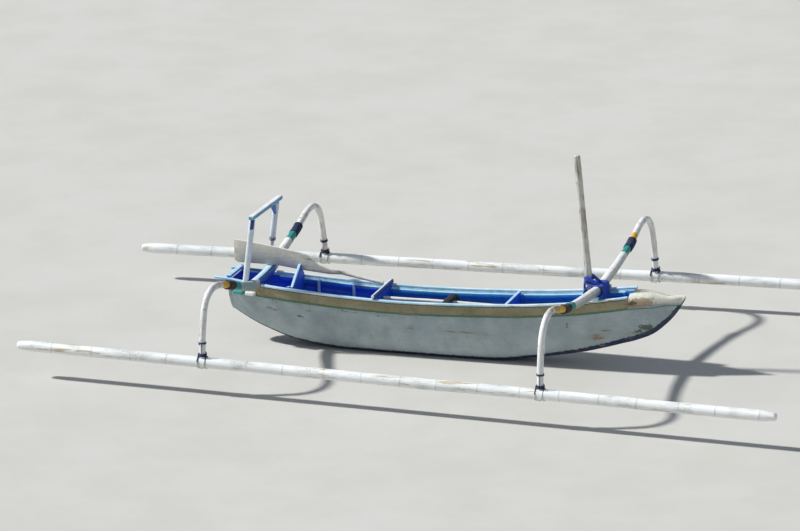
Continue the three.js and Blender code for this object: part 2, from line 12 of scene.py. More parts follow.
import bpy
import numpy as np
from mathutils import Matrix, Vector


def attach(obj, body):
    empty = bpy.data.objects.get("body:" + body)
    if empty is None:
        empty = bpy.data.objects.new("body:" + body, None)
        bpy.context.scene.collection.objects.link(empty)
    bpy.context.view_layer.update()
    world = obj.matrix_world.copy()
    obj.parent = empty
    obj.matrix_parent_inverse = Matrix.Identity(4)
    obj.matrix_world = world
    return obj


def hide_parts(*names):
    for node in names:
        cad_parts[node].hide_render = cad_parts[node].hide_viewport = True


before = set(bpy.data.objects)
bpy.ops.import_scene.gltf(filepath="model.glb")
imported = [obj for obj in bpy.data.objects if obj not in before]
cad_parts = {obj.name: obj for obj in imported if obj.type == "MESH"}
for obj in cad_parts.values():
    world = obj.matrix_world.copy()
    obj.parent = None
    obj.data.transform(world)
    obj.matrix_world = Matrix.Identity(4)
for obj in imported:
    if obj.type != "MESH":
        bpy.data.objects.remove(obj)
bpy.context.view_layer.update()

log = logging.getLogger("canoe")
Socket = bpy.types.NodeSocket
Pair = tuple[float, float]
Triple = tuple[float, float, float]
Places = np.ndarray | float
Layers = dict[str, np.ndarray]

BODY = "root"
MM = 0.001
ORIGIN_X_MM = -205.0  # the frame's origin against the point midway between the booms
CURVE_STEPS = 24  # points on each span of a curve
CREASE = 36  # in degrees; an edge stays sharp over it
HALF_TURN = np.array([-1.0, 1.0])  # takes points (y, z) to the other side
SIDES = (("port", np.array([1.0, 1.0, 1.0])), ("starboard", np.array([1.0, -1.0, 1.0])))


class Axis(Enum):
    """The way that the grain of a piece runs."""

    ALONG = 0
    ACROSS = 1
    UPRIGHT = 2


# Shapes


def even(line: np.ndarray, count: int) -> np.ndarray:
    """Places points at equal steps along a line.

    Args:
        line: points of the line, one row each.
        count: how many points to return.

    Returns:
        The evenly spaced points.
    """
    steps = np.linalg.norm(np.diff(line, axis=0), axis=1)
    length = np.concatenate([[0.0], np.cumsum(steps)])
    wanted = np.linspace(0.0, length[-1], count)
    return np.stack([np.interp(wanted, length, line[:, k]) for k in range(line.shape[1])], axis=1)


def curve_through(points: Sequence[Sequence[float]], count: int, loop: bool = False) -> np.ndarray:
    """Draws a centripetal curve through points.

    Args:
        points: the points that the curve passes.
        count: how many points to return.
        loop: whether the curve closes on itself.

    Returns:
        Evenly spaced points along the curve.
    """
    p = np.asarray(points, float)
    if loop:
        p = np.concatenate([p[-1:], p, p[:2]])
    else:
        p = np.concatenate([2 * p[:1] - p[1:2], p, 2 * p[-1:] - p[-2:-1]])
    parts = []
    u = np.linspace(0.0, 1.0, CURVE_STEPS, endpoint=False)[:, None]
    for a, b, c, d in zip(p[:-3], p[1:-2], p[2:-1], p[3:]):
        pairs = ((a, b), (b, c), (c, d))
        before, span, after = (max(float(((q - r) ** 2).sum()) ** 0.25, 1e-6) for q, r in pairs)
        leave = ((b - a) / before - (c - a) / (before + span) + (c - b) / span) * span
        reach = ((c - b) / span - (d - b) / (span + after) + (d - c) / after) * span
        square, cube = -3 * b + 3 * c - 2 * leave - reach, 2 * b - 2 * c + leave + reach
        parts.append(b + leave * u + square * u**2 + cube * u**3)
    return even(np.concatenate([*parts, p[-2:-1]]), count)


def ripple(s: np.ndarray, seed: int, length: float = 1.0) -> np.ndarray:
    """Makes smooth seeded unevenness, as in a timber shaped by hand.

    Args:
        s: places along the piece.
        seed: the seed of its waves.
        length: the longest wave, in the unit of s.

    Returns:
        Values between about -1 and 1.
    """
    rng = np.random.default_rng(seed)
    total = np.zeros_like(np.asarray(s, float))
    for share in (1.0, 0.53, 0.31, 0.17):
        turns = 2 * math.pi / (length * share * rng.uniform(0.8, 1.2))
        total = total + share * np.sin(s * turns + rng.uniform(0, 2 * math.pi))
    return total / 2.0


def oval(count: int, power: float = 2.0) -> np.ndarray:
    """Draws a closed outline of half-width 1.

    Args:
        count: how many points it has.
        power: 2 for a round outline, more for a squarer one.

    Returns:
        The outline's points.
    """
    angle = np.linspace(0.0, 2 * math.pi, count, endpoint=False)
    c, s = np.cos(angle), np.sin(angle)
    return np.stack([np.sign(c) * np.abs(c) ** (2 / power), np.sign(s) * np.abs(s) ** (2 / power)], axis=1)


def boxed(wide: float, deep: float, corner: float, steps: int = 3) -> np.ndarray:
    """Draws a rectangle's closed outline with rounded corners.

    Args:
        wide: its width.
        deep: its depth.
        corner: the radius of its corners.
        steps: how many steps each corner takes.

    Returns:
        The outline's points.
    """
    turn = np.linspace(0.0, math.pi / 2, steps + 1)
    parts = []
    for k, (sx, sy) in enumerate(((1, 1), (-1, 1), (-1, -1), (1, -1))):
        middle = np.array([sx * (wide / 2 - corner), sy * (deep / 2 - corner)])
        angle = turn + k * math.pi / 2
        parts.append(middle + corner * np.stack([np.cos(angle), np.sin(angle)], axis=1))
    return np.concatenate(parts)


def sides_of(line: np.ndarray, side: Sequence[float] | None) -> tuple[np.ndarray, np.ndarray, np.ndarray]:
    """Finds the two directions across a line at each of its points.

    Args:
        line: points of the line.
        side: a direction that stays across the line, or None to carry one along it.

    Returns:
        The first direction across, the second one, and the line's own direction.
    """
    ahead = np.gradient(line, axis=0)
    ahead /= np.linalg.norm(ahead, axis=1, keepdims=True)
    if side is not None:
        first = np.broadcast_to(np.asarray(side, float), line.shape).copy()
        second = np.cross(ahead, first)
        second /= np.linalg.norm(second, axis=1, keepdims=True)
        return np.cross(second, ahead), second, ahead
    first = np.empty_like(line)
    start = np.cross(ahead[0], [0.31, 0.2, 0.93])
    first[0] = start / np.linalg.norm(start)
    for k in range(1, len(line)):
        carried = first[k - 1] - ahead[k] * float(first[k - 1] @ ahead[k])
        first[k] = carried / np.linalg.norm(carried)
    return first, np.cross(ahead, first), ahead


def rounded_end(ring: np.ndarray, middle: np.ndarray, away: np.ndarray, ease: float) -> np.ndarray:
    """Rounds the edge at one end of a swept body, within the body's length.

    Args:
        ring: the outline at the end.
        middle: the middle of that outline.
        away: the direction out of the body.
        ease: how far the edge is rounded, in metres.

    Returns:
        The rings of the end, the outermost one last.
    """
    start, centre = ring - away * ease, middle - away * ease
    reach = np.linalg.norm(start - centre, axis=1).min()
    made = []
    for turn in (0.0, 0.5, 1.0, 1.35, math.pi / 2):
        inset = min(ease * (1 - math.cos(turn)), 0.9 * reach)
        made.append(centre + (start - centre) * (1 - inset / reach) + away * ease * math.sin(turn))
    return np.array(made)


def swept(
    line: np.ndarray,
    outline: np.ndarray,
    side: Sequence[float] | None = None,
    size: np.ndarray | float = 1.0,
    ease: float = 0.0,
) -> np.ndarray:
    """Carries an outline along a line.

    Args:
        line: points of the line.
        outline: closed outline, first column along side and second across it.
        side: a direction that stays across the line, or None.
        size: one factor, or one for each point, or a pair for each point.
        ease: how far the edges of both ends are rounded, in metres.

    Returns:
        Rings of points, one for each point of the line, and more where the ends are rounded.
    """
    first, second, ahead = sides_of(line, side)
    pairs = np.asarray(size, float).reshape(-1, 1) if np.ndim(size) < 2 else size
    factor = np.broadcast_to(pairs, (len(line), 2))
    rings = (
        line[:, None]
        + first[:, None] * outline[None, :, :1] * factor[:, None, :1]
        + second[:, None] * outline[None, :, 1:] * factor[:, None, 1:]
    )
    if ease <= 0:
        return rings
    head = rounded_end(rings[0], line[0], -ahead[0], ease)[::-1]
    tail = rounded_end(rings[-1], line[-1], ahead[-1], ease)
    return np.concatenate([head, rings[1:-1], tail])


class Shape:
    """Points and faces of one piece, with a value of each of its layers at every point."""

    def __init__(self) -> None:
        """Starts an empty shape."""
        self.points: list[np.ndarray] = []
        self.faces: list[tuple[int, ...]] = []
        self.layers: dict[str, list[np.ndarray]] = {}
        self.count = 0

    def add(self, points: np.ndarray, faces: list[tuple[int, ...]], layers: Layers) -> None:
        """Adds a closed body, with its faces turned outward.

        Args:
            points: its points.
            faces: its faces, as numbers of points.
            layers: values at its points.
        """
        volume = 0.0
        for face in faces:
            a = points[face[0]]
            for m, n in zip(face[1:-1], face[2:]):
                volume += float(np.dot(a, np.cross(points[m], points[n])))
        turn = 1 if volume > 0 else -1
        self.faces += [tuple(i + self.count for i in face[::turn]) for face in faces]
        self.points.append(points)
        for name in {**self.layers, **layers}:
            if name not in self.layers:
                self.layers[name] = [np.zeros(self.count)] if self.count else []
            self.layers[name].append(np.asarray(layers.get(name, np.zeros(len(points))), float))
        self.count += len(points)

    def loft(self, rings: np.ndarray, loop: bool = False, **layers: np.ndarray) -> "Shape":
        """Adds a closed body through rings.

        Args:
            rings: rings of points, all with the same count.
            loop: whether the last ring joins the first.
            layers: values of layers, one for each ring and point.

        Returns:
            The shape itself.
        """
        rows, count = rings.shape[:2]
        here = np.arange(rows * count).reshape(rows, count)
        nxt = np.roll(here, -1, axis=1)
        low, high = (here, np.roll(here, -1, axis=0)) if loop else (here[:-1], here[1:])
        low_next, high_next = (nxt, np.roll(nxt, -1, axis=0)) if loop else (nxt[:-1], nxt[1:])
        quads = np.stack([low, low_next, high_next, high], axis=-1).reshape(-1, 4)
        faces = [tuple(int(i) for i in quad) for quad in quads]
        if not loop:
            faces += [tuple(int(i) for i in here[0][::-1]), tuple(int(i) for i in here[-1])]
        self.add(rings.reshape(-1, 3), faces, {k: np.asarray(v).reshape(-1) for k, v in layers.items()})
        return self

    def slab(self, outline: np.ndarray, axis: Axis, low: float, high: float, edge: float = 0.003) -> "Shape":
        """Adds a board of a flat outline, with eased edges.

        Args:
            outline: closed outline across the axis, in metres.
            axis: the way that the board is thick.
            low: its lower face along the axis.
            high: its upper face.
            edge: how far its edges are eased.

        Returns:
            The shape itself.
        """
        after = np.roll(outline, -1, axis=0)
        ahead = after - outline
        ahead /= np.maximum(np.linalg.norm(ahead, axis=1, keepdims=True), 1e-9)
        behind = np.roll(ahead, 1, axis=0)
        area = float((outline[:, 0] * after[:, 1] - after[:, 0] * outline[:, 1]).sum())
        normal = np.stack([-(ahead + behind)[:, 1], (ahead + behind)[:, 0]], axis=1) * (1 if area > 0 else -1)
        normal /= np.maximum(np.linalg.norm(normal, axis=1, keepdims=True), 0.35)
        rings = []
        for depth, inset in ((0, 1), (0.3, 0.3), (1, 0), (-1, 0), (-0.3, 0.3), (0, 1)):
            flat = outline + normal * edge * inset
            level = low + depth * edge if len(rings) < 3 else high + depth * edge
            rings.append(np.insert(flat, axis.value, level, axis=1))
        return self.loft(np.array(rings))

    def flip(self) -> "Shape":
        """Moves the shape to the other side of the canoe.

        Returns:
            The shape itself.
        """
        self.points = [flipped(points) for points in self.points]
        self.faces = [face[::-1] for face in self.faces]
        return self

    def studs(self, places: np.ndarray, out: np.ndarray, radius: float) -> "Shape":
        """Adds the domed head of a nail at each place.

        Args:
            places: the middle of each head on the surface.
            out: the surface's direction at each place.
            radius: the radius of a head.

        Returns:
            The shape itself.
        """
        for place, away in zip(places, out):
            away = away / np.linalg.norm(away)
            line = np.array([place + away * radius * k for k in (-0.5, 0.1, 0.35, 0.5)])
            self.loft(swept(line, oval(8), None, np.array([radius, radius, 0.72 * radius, 0.3 * radius])))
        return self

    def piece(self, name: str, material: bpy.types.Material, slot: str, *nodes: str) -> bpy.types.Object:
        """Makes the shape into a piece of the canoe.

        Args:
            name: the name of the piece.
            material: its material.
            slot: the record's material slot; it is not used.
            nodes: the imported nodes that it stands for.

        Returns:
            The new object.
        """
        mesh = bpy.data.meshes.new(name)
        mesh.from_pydata(np.concatenate(self.points).tolist(), [], self.faces)
        for layer, values in self.layers.items():
            mesh.attributes.new(layer, "FLOAT", "POINT").data.foreach_set("value", np.concatenate(values))
        mesh.update()
        mesh.shade_smooth()
        mesh.set_sharp_from_angle(angle=math.radians(CREASE))
        mesh.materials.append(material)
        made = bpy.data.objects.new(name, mesh)
        bpy.context.scene.collection.objects.link(made)
        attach(made, BODY)
        if nodes:
            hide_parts(*nodes)
        log.info("%s: %d faces", name, len(self.faces))
        return made


def below_top(rings: np.ndarray) -> np.ndarray:
    """Returns how far each point lies below the top of its ring, in metres."""
    return rings[..., 2].max(axis=1, keepdims=True) - rings[..., 2]


def flipped(points: np.ndarray) -> np.ndarray:
    """Returns points or rings (x, y, z) on the other side of the canoe."""
    return points * SIDES[1][1]


# Finishes


def to_linear(code: str) -> tuple[float, float, float, float]:
    """Turns an sRGB hex value to linear colour.

    Args:
        code: the value, such as #a0b1c2.

    Returns:
        Red, green, blue and full cover.
    """
    parts = [int(code[k : k + 2], 16) / 255 for k in (1, 3, 5)]
    red, green, blue = (c / 12.92 if c <= 0.04045 else ((c + 0.055) / 1.055) ** 2.4 for c in parts)
    return (red, green, blue, 1.0)


MIX_FACTOR, MIX_A, MIX_B, MIX_OUT = 0, 6, 7, 2  # the colour sockets of a mix node


class Surface:
    """One material and the patterns that its finish is made of."""

    def __init__(self, name: str, roughness: float) -> None:
        """Starts the material with a plain shader, with the index of refraction of paint and plastic.

        Args:
            name: the material's name.
            roughness: the shader's roughness before any pattern.
        """
        self.material = bpy.data.materials.new(name)
        self.material.use_nodes = True
        self.tree = self.material.node_tree
        self.tree.nodes.clear()
        self.shader = self.node("BsdfPrincipled", {"Roughness": roughness, "IOR": 1.5})
        self.node("OutputMaterial", links={"Surface": self.shader.outputs[0]})
        self.place = self.node("TexCoord").outputs["Object"]
        self.seed = 0

    def node(
        self,
        kind: str,
        values: dict[int | str, object] | None = None,
        links: dict[int | str, Socket] | None = None,
        **settings: object,
    ) -> bpy.types.Node:
        """Adds one node.

        Args:
            kind: the node's type.
            values: values of its input sockets.
            links: sockets that feed its input sockets.
            settings: its own settings.

        Returns:
            The new node.
        """
        made = self.tree.nodes.new("ShaderNode" + kind)
        for name, value in settings.items():
            setattr(made, name, value)
        for key, value in (values or {}).items():
            made.inputs[key].default_value = value
        for key, source in (links or {}).items():
            self.tree.links.new(source, made.inputs[key])
        return made

    def patches(
        self,
        size_mm: float,
        low: float,
        high: float,
        most: float = 1.0,
        stretch: Sequence[float] = (1.0, 1.0, 1.0),
        detail: float = 5.0,
    ) -> Socket:
        """Makes a mask of uneven patches.

        Args:
            size_mm: the usual size of a patch.
            low: the noise level under which the mask is 0.
            high: the noise level over which the mask is at its most.
            most: the mask's largest value.
            stretch: factors on the three axes, small where the patches run long.
            detail: how fine their edges are.

        Returns:
            The mask.
        """
        self.seed += 1
        moved = (1.7 * self.seed, 2.3 * self.seed, 3.1 * self.seed)
        scaled = self.node("Mapping", {"Scale": stretch, "Location": moved}, {"Vector": self.place})
        values = {"Scale": 1 / (size_mm * MM), "Detail": detail, "Roughness": 0.6}
        noise = self.node("TexNoise", values, {"Vector": scaled.outputs[0]})
        return self.ramp(noise.outputs[0], low, high, most)

    def ramp(self, source: Socket, low: float, high: float, most: float = 1.0, least: float = 0.0) -> Socket:
        """Maps a value from between low and high to between least and most, with soft ends."""
        values = {"From Min": low, "From Max": high, "To Min": least, "To Max": most}
        return self.node("MapRange", values, {"Value": source}, interpolation_type="SMOOTHSTEP").outputs[0]

    def level(self, layer: str) -> Socket:
        """Reads a place along X, Y or Z, the distance from the middle plane, or a layer of the mesh.

        Args:
            layer: x, y, z, off_centre, or the name of a layer.

        Returns:
            The value in metres.
        """
        if layer == "off_centre":
            return self.node("Math", links={0: self.level("y")}, operation="ABSOLUTE").outputs[0]
        if layer in ("x", "y", "z"):
            return self.node("SeparateXYZ", links={0: self.place}).outputs["xyz".index(layer)]
        return self.node("Attribute", attribute_name=layer).outputs["Fac"]

    def times(self, a: Socket, b: Socket | float) -> Socket:
        """Multiplies a mask by another one or by a share."""
        values, links = ({1: b}, {0: a}) if isinstance(b, float) else ({}, {0: a, 1: b})
        return self.node("Math", values, links, operation="MULTIPLY").outputs[0]

    def coat(self, under: Socket | str, over: Socket | str, mask: Socket) -> Socket:
        """Lays one colour over another.

        Args:
            under: the lower colour, or its hex value.
            over: the upper colour, or its hex value.
            mask: where the upper one shows.

        Returns:
            The two together.
        """
        sources = {MIX_FACTOR: mask, MIX_A: under, MIX_B: over}
        values = {key: to_linear(source) for key, source in sources.items() if isinstance(source, str)}
        links = {key: source for key, source in sources.items() if key not in values}
        return self.node("Mix", values, links, data_type="RGBA").outputs[MIX_OUT]

    def finish(
        self, colour: Socket, rough: Socket | None = None, relief: Sequence[tuple[Socket, float]] = ()
    ) -> bpy.types.Material:
        """Links colour, roughness and relief to the shader.

        Args:
            colour: the colour.
            rough: the roughness, or None to leave it even.
            relief: masks that stand up from the surface, each with its height in metres.

        Returns:
            The finished material.
        """
        self.tree.links.new(colour, self.shader.inputs["Base Color"])
        if rough is not None:
            self.tree.links.new(rough, self.shader.inputs["Roughness"])
        links = {}
        for mask, height in relief:
            values = {"Strength": 0.9, "Distance": abs(height)}
            bump = self.node("Bump", values, {"Height": mask, **links}, invert=height < 0)
            links = {"Normal": bump.outputs[0]}
        if links:
            self.tree.links.new(links["Normal"], self.shader.inputs["Normal"])
        return self.material


def drawn_out(grain: Axis, share: float) -> tuple[float, ...]:
    """Returns factors on the three axes that draw a pattern out along the grain."""
    return tuple(share if axis is grain else 1.0 for axis in Axis)


@dataclass(frozen=True)
class Band:
    """A band of another paint, between two levels of a layer."""

    layer: str
    low: float
    high: float
    paint: str
    soft: float = 0.004
    uneven: float = 0.004
    cover: float = 1.0


@dataclass(frozen=True)
class PaintedTimber:
    """Oil paint brushed by hand on planks: brush marks, sun-bleached areas, grime and bare spots."""

    name: str
    paint: str
    faded: str
    timber: str
    grime: str
    grain: Axis = Axis.ALONG
    roughness: float = 0.55
    wear: float = 0.10
    soil: float = 0.35
    grain_mm: float = 8.0  # brush marks are 1 to 2 mm apart, drawn coarser to show
    relief: float = 0.0009
    bands: tuple[Band, ...] = ()

    def build(self) -> bpy.types.Material:
        """Lays paint, bands, brush marks, dirt and bare spots over each other.

        Returns:
            The material.
        """
        s = Surface(self.name, self.roughness)
        stretch = drawn_out(self.grain, 0.05)
        colour = s.coat(self.paint, self.faded, s.patches(260, 0.36, 0.68))
        wobble = s.patches(28, 0.2, 0.8, 1.0)
        for band in self.bands:
            links = {0: wobble, 2: s.level(band.layer)}
            shifted = s.node("Math", {1: band.uneven}, links, operation="MULTIPLY_ADD").outputs[0]
            inside = s.times(
                s.ramp(shifted, band.low - band.soft, band.low + band.soft),
                s.ramp(shifted, band.high + band.soft, band.high - band.soft, band.cover),
            )
            colour = s.coat(colour, band.paint, inside)
        grain = s.patches(self.grain_mm, 0.35, 0.72, 1.0, stretch, 3.0)
        colour = s.coat(colour, self.grime, s.times(grain, 0.28 * self.soil))
        dirt = s.times(s.patches(90, 0.46, 0.74, 1.0, (1.0, 1.0, 0.55)), s.patches(14, 0.30, 0.62, self.soil))
        colour = s.coat(colour, self.grime, dirt)
        edge = 0.69 - 0.55 * self.wear
        bare = s.times(s.patches(60, edge, edge + 0.05, 1.0, stretch, 9.0), s.patches(400, 0.42, 0.52))
        colour = s.coat(colour, self.timber, bare)
        rough = s.ramp(dirt, 0.0, 1.0, min(self.roughness + 0.25, 0.95), self.roughness)
        relief = ((grain, self.relief), (bare, -0.0012), (s.patches(70, 0.3, 0.7), 0.0016))
        return s.finish(colour, rough, relief)


@dataclass(frozen=True)
class BareTimber:
    """Sawn softwood left bare: dark growth lines along the grain, grey where the rain reaches it."""

    name: str
    early: str
    late: str
    grey: str
    grain: Axis = Axis.ALONG
    weather: float = 0.5
    cracks: float = 0.0
    line_mm: float = 7.0  # growth lines are 2 to 4 mm apart, drawn coarser to show

    def build(self) -> bpy.types.Material:
        """Lays growth lines, grey weathering and cracks over each other.

        Returns:
            The material.
        """
        s = Surface(self.name, 0.78)
        stretch = drawn_out(self.grain, 0.04)
        lines = s.patches(self.line_mm, 0.40, 0.62, 1.0, stretch, 4.0)
        colour = s.coat(self.early, self.late, lines)
        colour = s.coat(colour, self.grey, s.patches(150, 0.35, 0.65, self.weather))
        deep = s.patches(16, 0.60, 0.66, self.cracks, stretch, 6.0)
        colour = s.coat(colour, "#2a241d", deep)
        return s.finish(colour, None, ((lines, 0.0012), (deep, -0.003)))


@dataclass(frozen=True)
class PaintedBamboo:
    """Gloss paint on a bamboo culm: dirt in the rings at its nodes, long scrapes and greyer patches."""

    name: str
    paint: str
    shade: str
    grime: str
    culm: str

    def build(self) -> bpy.types.Material:
        """Lays paint, rings, scrapes and dirt over each other.

        Returns:
            The material.
        """
        s = Surface(self.name, 0.42)
        colour = s.coat(self.paint, self.shade, s.patches(420, 0.38, 0.66, 0.7, (0.3, 1.0, 1.0)))
        ring = s.level("ring")
        colour = s.coat(colour, self.grime, s.times(ring, s.patches(40, 0.30, 0.60, 0.4)))
        streaks = s.patches(30, 0.57, 0.62, 1.0, (0.06, 1.0, 1.0), 7.0)
        scrape = s.times(streaks, s.patches(500, 0.45, 0.55, 1.0, (0.6, 1.0, 1.0)))
        colour = s.coat(colour, self.culm, s.times(scrape, 0.8))
        dirt = s.times(s.patches(110, 0.45, 0.72, 1.0, (0.4, 1.0, 1.0)), s.patches(12, 0.30, 0.60, 0.5))
        colour = s.coat(colour, self.grime, dirt)
        rough = s.ramp(dirt, 0.0, 0.6, 0.75, 0.40)
        fibres = s.patches(5, 0.3, 0.7, 1.0, (0.03, 1.0, 1.0), 2.0)  # 1 mm apart, drawn coarser to show
        return s.finish(colour, rough, ((fibres, 0.0005), (scrape, -0.0008)))


@dataclass(frozen=True)
class LaidRope:
    """Three-strand polyester rope: a soft sheen, faded outside, with painted shade between its strands."""

    name: str
    colour: str
    faded: str
    dark: str
    second: str = "#23206e"  # where the tint layer says

    def build(self) -> bpy.types.Material:
        """Lays fading, painted shade between the strands, dark yarns, and the second colour over each other.

        Returns:
            The material.
        """
        s = Surface(self.name, 0.85)
        s.shader.inputs["Sheen Weight"].default_value = 0.25
        groove = s.level("groove")
        colour = s.coat(self.colour, self.faded, s.patches(60, 0.38, 0.66, 0.8))
        # painted shade in the grooves between the strands
        colour = s.coat(colour, self.dark, s.times(groove, 0.75))
        colour = s.coat(colour, self.second, s.level("tint"))
        yarn = s.patches(2.2, 0.35, 0.7, 1.0, (1.0, 1.0, 1.0), 2.0)  # yarns are about 1 mm thick
        return s.finish(s.coat(colour, self.dark, s.times(yarn, 0.25)), None, ((yarn, 0.0006),))


@dataclass(frozen=True)
class StudioFloor:
    """Matt painted floor, pale and even."""

    name: str = "studio_floor_matt_paint"
    paint: str = "#cbc8c1"
    second: str = "#c5c2ba"

    def build(self) -> bpy.types.Material:
        """Returns the material."""
        s = Surface(self.name, 0.9)
        return s.finish(s.coat(self.paint, self.second, s.patches(900, 0.3, 0.7)))


# The hull's lines, in millimetres


@dataclass(frozen=True)
class HullLines:
    """Sections of the hull from the transom to the tip of the bow."""

    # place along X, half-breadth, sheer, keel, half of the flat bottom, power of the side's curve
    stations: tuple[tuple[float, ...], ...] = (
        (-2120, 186, 708, 330, 14, 1.8),
        (-1950, 213, 694, 235, 18, 1.9),
        (-1780, 233, 681.5, 160, 26, 2.0),
        (-1430, 256, 659, 55, 48, 2.1),
        (-900, 269, 631, 0, 72, 2.2),
        (-300, 270, 615, 0, 84, 2.2),
        (300, 264, 627, 0, 84, 2.2),
        (750, 257, 649, 0, 70, 2.1),
        (1120, 248, 671, 45, 50, 2.0),
        (1630, 228, 723, 135, 30, 1.8),
        (1900, 212, 763, 205, 22, 1.7),
        (2080, 193, 791, 260, 18, 1.6),
        (2210, 172, 812, 300, 16, 1.6),
        (2400, 122, 821, 385, 14, 1.6),
        (2560, 74, 796, 520, 12, 1.6),
        (2660, 44, 796, 640, 11, 1.6),
        (2735, 17, 802, 765, 10, 1.6),
    )
    rail_height: float = 22
    strake_depths: tuple[float, float, float, float] = (112, 62, 2390, 2570)  # most, least, from, to
    stem_depth: float = 14

    def value(self, x: Places, column: int) -> Places:
        """Reads one column of the stations, smoothly from one to the next.

        Args:
            x: places along X.
            column: the column's number.

        Returns:
            The values.
        """
        table = np.array(self.stations, float)
        at, v = table[:, 0], table[:, column]
        x = np.asarray(x, float)
        before, after = np.maximum(np.arange(len(at)) - 1, 0), np.minimum(np.arange(len(at)) + 1, len(at) - 1)
        slope = (v[after] - v[before]) / (at[after] - at[before])
        i = np.clip(np.searchsorted(at, x) - 1, 0, len(at) - 2)
        span = at[i + 1] - at[i]
        t = (x - at[i]) / span
        a, b = slope[i] * span, slope[i + 1] * span
        smooth = (
            v[i] * (2 * t**3 - 3 * t**2 + 1) + a * (t**3 - 2 * t**2 + t) + v[i + 1] * (3 * t**2 - 2 * t**3)
        ) + b * (t**3 - t**2)
        result = np.where(t < 0, v[i] + (x - at[i]) * slope[i], smooth)
        return result if result.ndim else float(result)

    def half(self, x: Places) -> Places:
        """Returns the half-breadth at the sheer."""
        return self.value(x, 1)

    def sheer(self, x: Places) -> Places:
        """Returns the height of the rails' tops."""
        return self.value(x, 2)

    def keel(self, x: Places) -> Places:
        """Returns the height of the bottom."""
        return np.maximum(self.value(x, 3), 0.0)

    def strake_top(self, x: Places) -> Places:
        """Returns the height of the strakes' top edges."""
        return self.sheer(x) - self.rail_height

    def split(self, x: Places) -> Places:
        """Finds the height at which the strakes meet the dugout, or the bow's sides its bevel.

        Args:
            x: places along X.

        Returns:
            The heights.
        """
        most, least, start, end = self.strake_depths
        t = np.clip((np.asarray(x, float) - start) / (end - start), 0, 1)
        return self.strake_top(x) - (most + (least - most) * t * t * (3 - 2 * t))

    def breadth(self, x: Places, z: Places, side: float = 0.0, floor: float = 0.0) -> Places:
        """Finds the half-breadth at a height.

        Args:
            x: places along the hull.
            z: heights.
            side: how far the surface lies inside the outer one.
            floor: how far it lies above the bottom.

        Returns:
            The half-breadths.
        """
        top, low = self.strake_top(x), self.keel(x) + floor
        power, flat, full = self.value(x, 5), self.value(x, 4), self.half(x) - side
        down = np.clip((top - z) / (top - low), 0, 1)
        return flat + (full - flat) * (1 - down**power) ** (1 / power)

    def side_curve(self, x: float, up_to: float, side: float, floor: float, count: int) -> np.ndarray:
        """Draws the port half of a section, from the bottom up.

        Args:
            x: the station.
            up_to: the height where it ends.
            side: how far the surface lies inside the outer one.
            floor: how far it lies above the bottom.
            count: how many points to return.

        Returns:
            The points (y, z).
        """
        low = float(self.keel(x)) + floor
        z = low + (up_to - low) * (1 - np.cos(np.linspace(0, math.pi / 2, count)))
        return np.stack([self.breadth(x, z, side, floor), z], axis=1)


HULL = HullLines()


def placed(points_mm: np.ndarray) -> np.ndarray:
    """Takes points from the hull's own millimetres to the frame, in metres."""
    return (np.asarray(points_mm, float) + np.array([ORIGIN_X_MM, 0.0, 0.0])) * MM


def section_at(x_mm: float, outline_mm: np.ndarray) -> np.ndarray:
    """Places an outline (y, z) at a station."""
    return placed(np.insert(outline_mm, 0, x_mm, axis=1))


def faces_at(x_mm: float, thick_mm: float) -> Pair:
    """Returns the places of the aft and the fore face of a board across the hull, in metres."""
    middle = x_mm + ORIGIN_X_MM
    return (middle - thick_mm / 2) * MM, (middle + thick_mm / 2) * MM


def beam(
    ends: Sequence[Sequence[float]],
    section: Triple,
    ease: float,
    count: int,
    side: Sequence[float] = (1, 0, 0),
) -> np.ndarray:
    """Draws a straight squared timber.

    Args:
        ends: its two ends, in the hull's millimetres.
        section: its width, its depth and the radius of its edges, in millimetres.
        ease: how far the edges of its ends are rounded, in millimetres.
        count: how many sections to draw.
        side: the direction of its width.

    Returns:
        The rings in metres.
    """
    wide, deep, corner = (v * MM for v in section)
    return swept(even(placed(np.array(ends)), count), boxed(wide, deep, corner), side, ease=ease * MM)


# White oil paint darkened to blue-grey as painted shade, dull and streaked, over a dark bottom
HULL_PAINT = PaintedTimber(
    "oil_paint_white_on_dugout", "#9aa8ac", "#adb9bb", "#8d7a62", "#77806f",
    soil=0.40, grain_mm=16, relief=0.0012,
    bands=(
        Band("above", -0.05, 0.052, "#1b2a4c", 0.004, 0.016),
        Band("below", -0.02, 0.013, "#2f6d4d", 0.003, 0.006, 0.9),
        Band("deck", 0.5, 2.0, "#b08e62", 0.05, 0.0),
        Band("bevel", 0.30, 2.0, "#e6e3d4", 0.12, 0.12),
        Band("wood", 0.95, 3.0, "#a58a60", 0.16, 0.9, 0.8),
        # dark brown patch for a notch that is not carved: bare wood darkened by painted shade
        Band("notch", 1.00, 3.0, "#54402c", 0.12, 0.9, 0.85),
        Band("scuff", 1.05, 3.0, "#2b3d33", 0.10, 0.9, 0.85),
    ),
)
# Cream oil paint darkened to olive-grey as painted shade, soiled along the grain, over a thin green line,
# with a dark line of painted shadow under the rail; blue inside, with a painted highlight along its top
STRAKE_PAINT = PaintedTimber(
    "oil_paint_cream_on_planks", "#8f8768", "#a09779", "#8a7a5a", "#6a6a50",
    wear=0.14, soil=0.6, grain_mm=9,
    bands=(
        Band("below", -0.013, 0.03, "#2f6d4d", 0.003, 0.004, 0.8),
        # dark line just under the rail: painted shadow of the rail
        Band("rim", -0.01, 0.012, "#3a372c", 0.003, 0.004, 0.85),
        Band("inner", 0.0, 0.98, "#2266ea", 0.002, 0.0),
        Band("inner", 1.0, 1.98, "#2b93e4", 0.002, 0.0),
        # pale strip along the top of the inner face: painted highlight
        Band("inner", -0.005, 0.021, "#b5dcea", 0.002, 0.004),
        Band("inner", 0.995, 1.021, "#b5dcea", 0.002, 0.004),
    ),
)
# Pale blue oil paint, rubbed to the wood by hands and lines
RAIL_PAINT = PaintedTimber(
    "oil_paint_pale_blue_on_rail", "#b5daea", "#dbecf2", "#9c8666", "#667b80", wear=0.2, soil=0.30, grain_mm=6
)
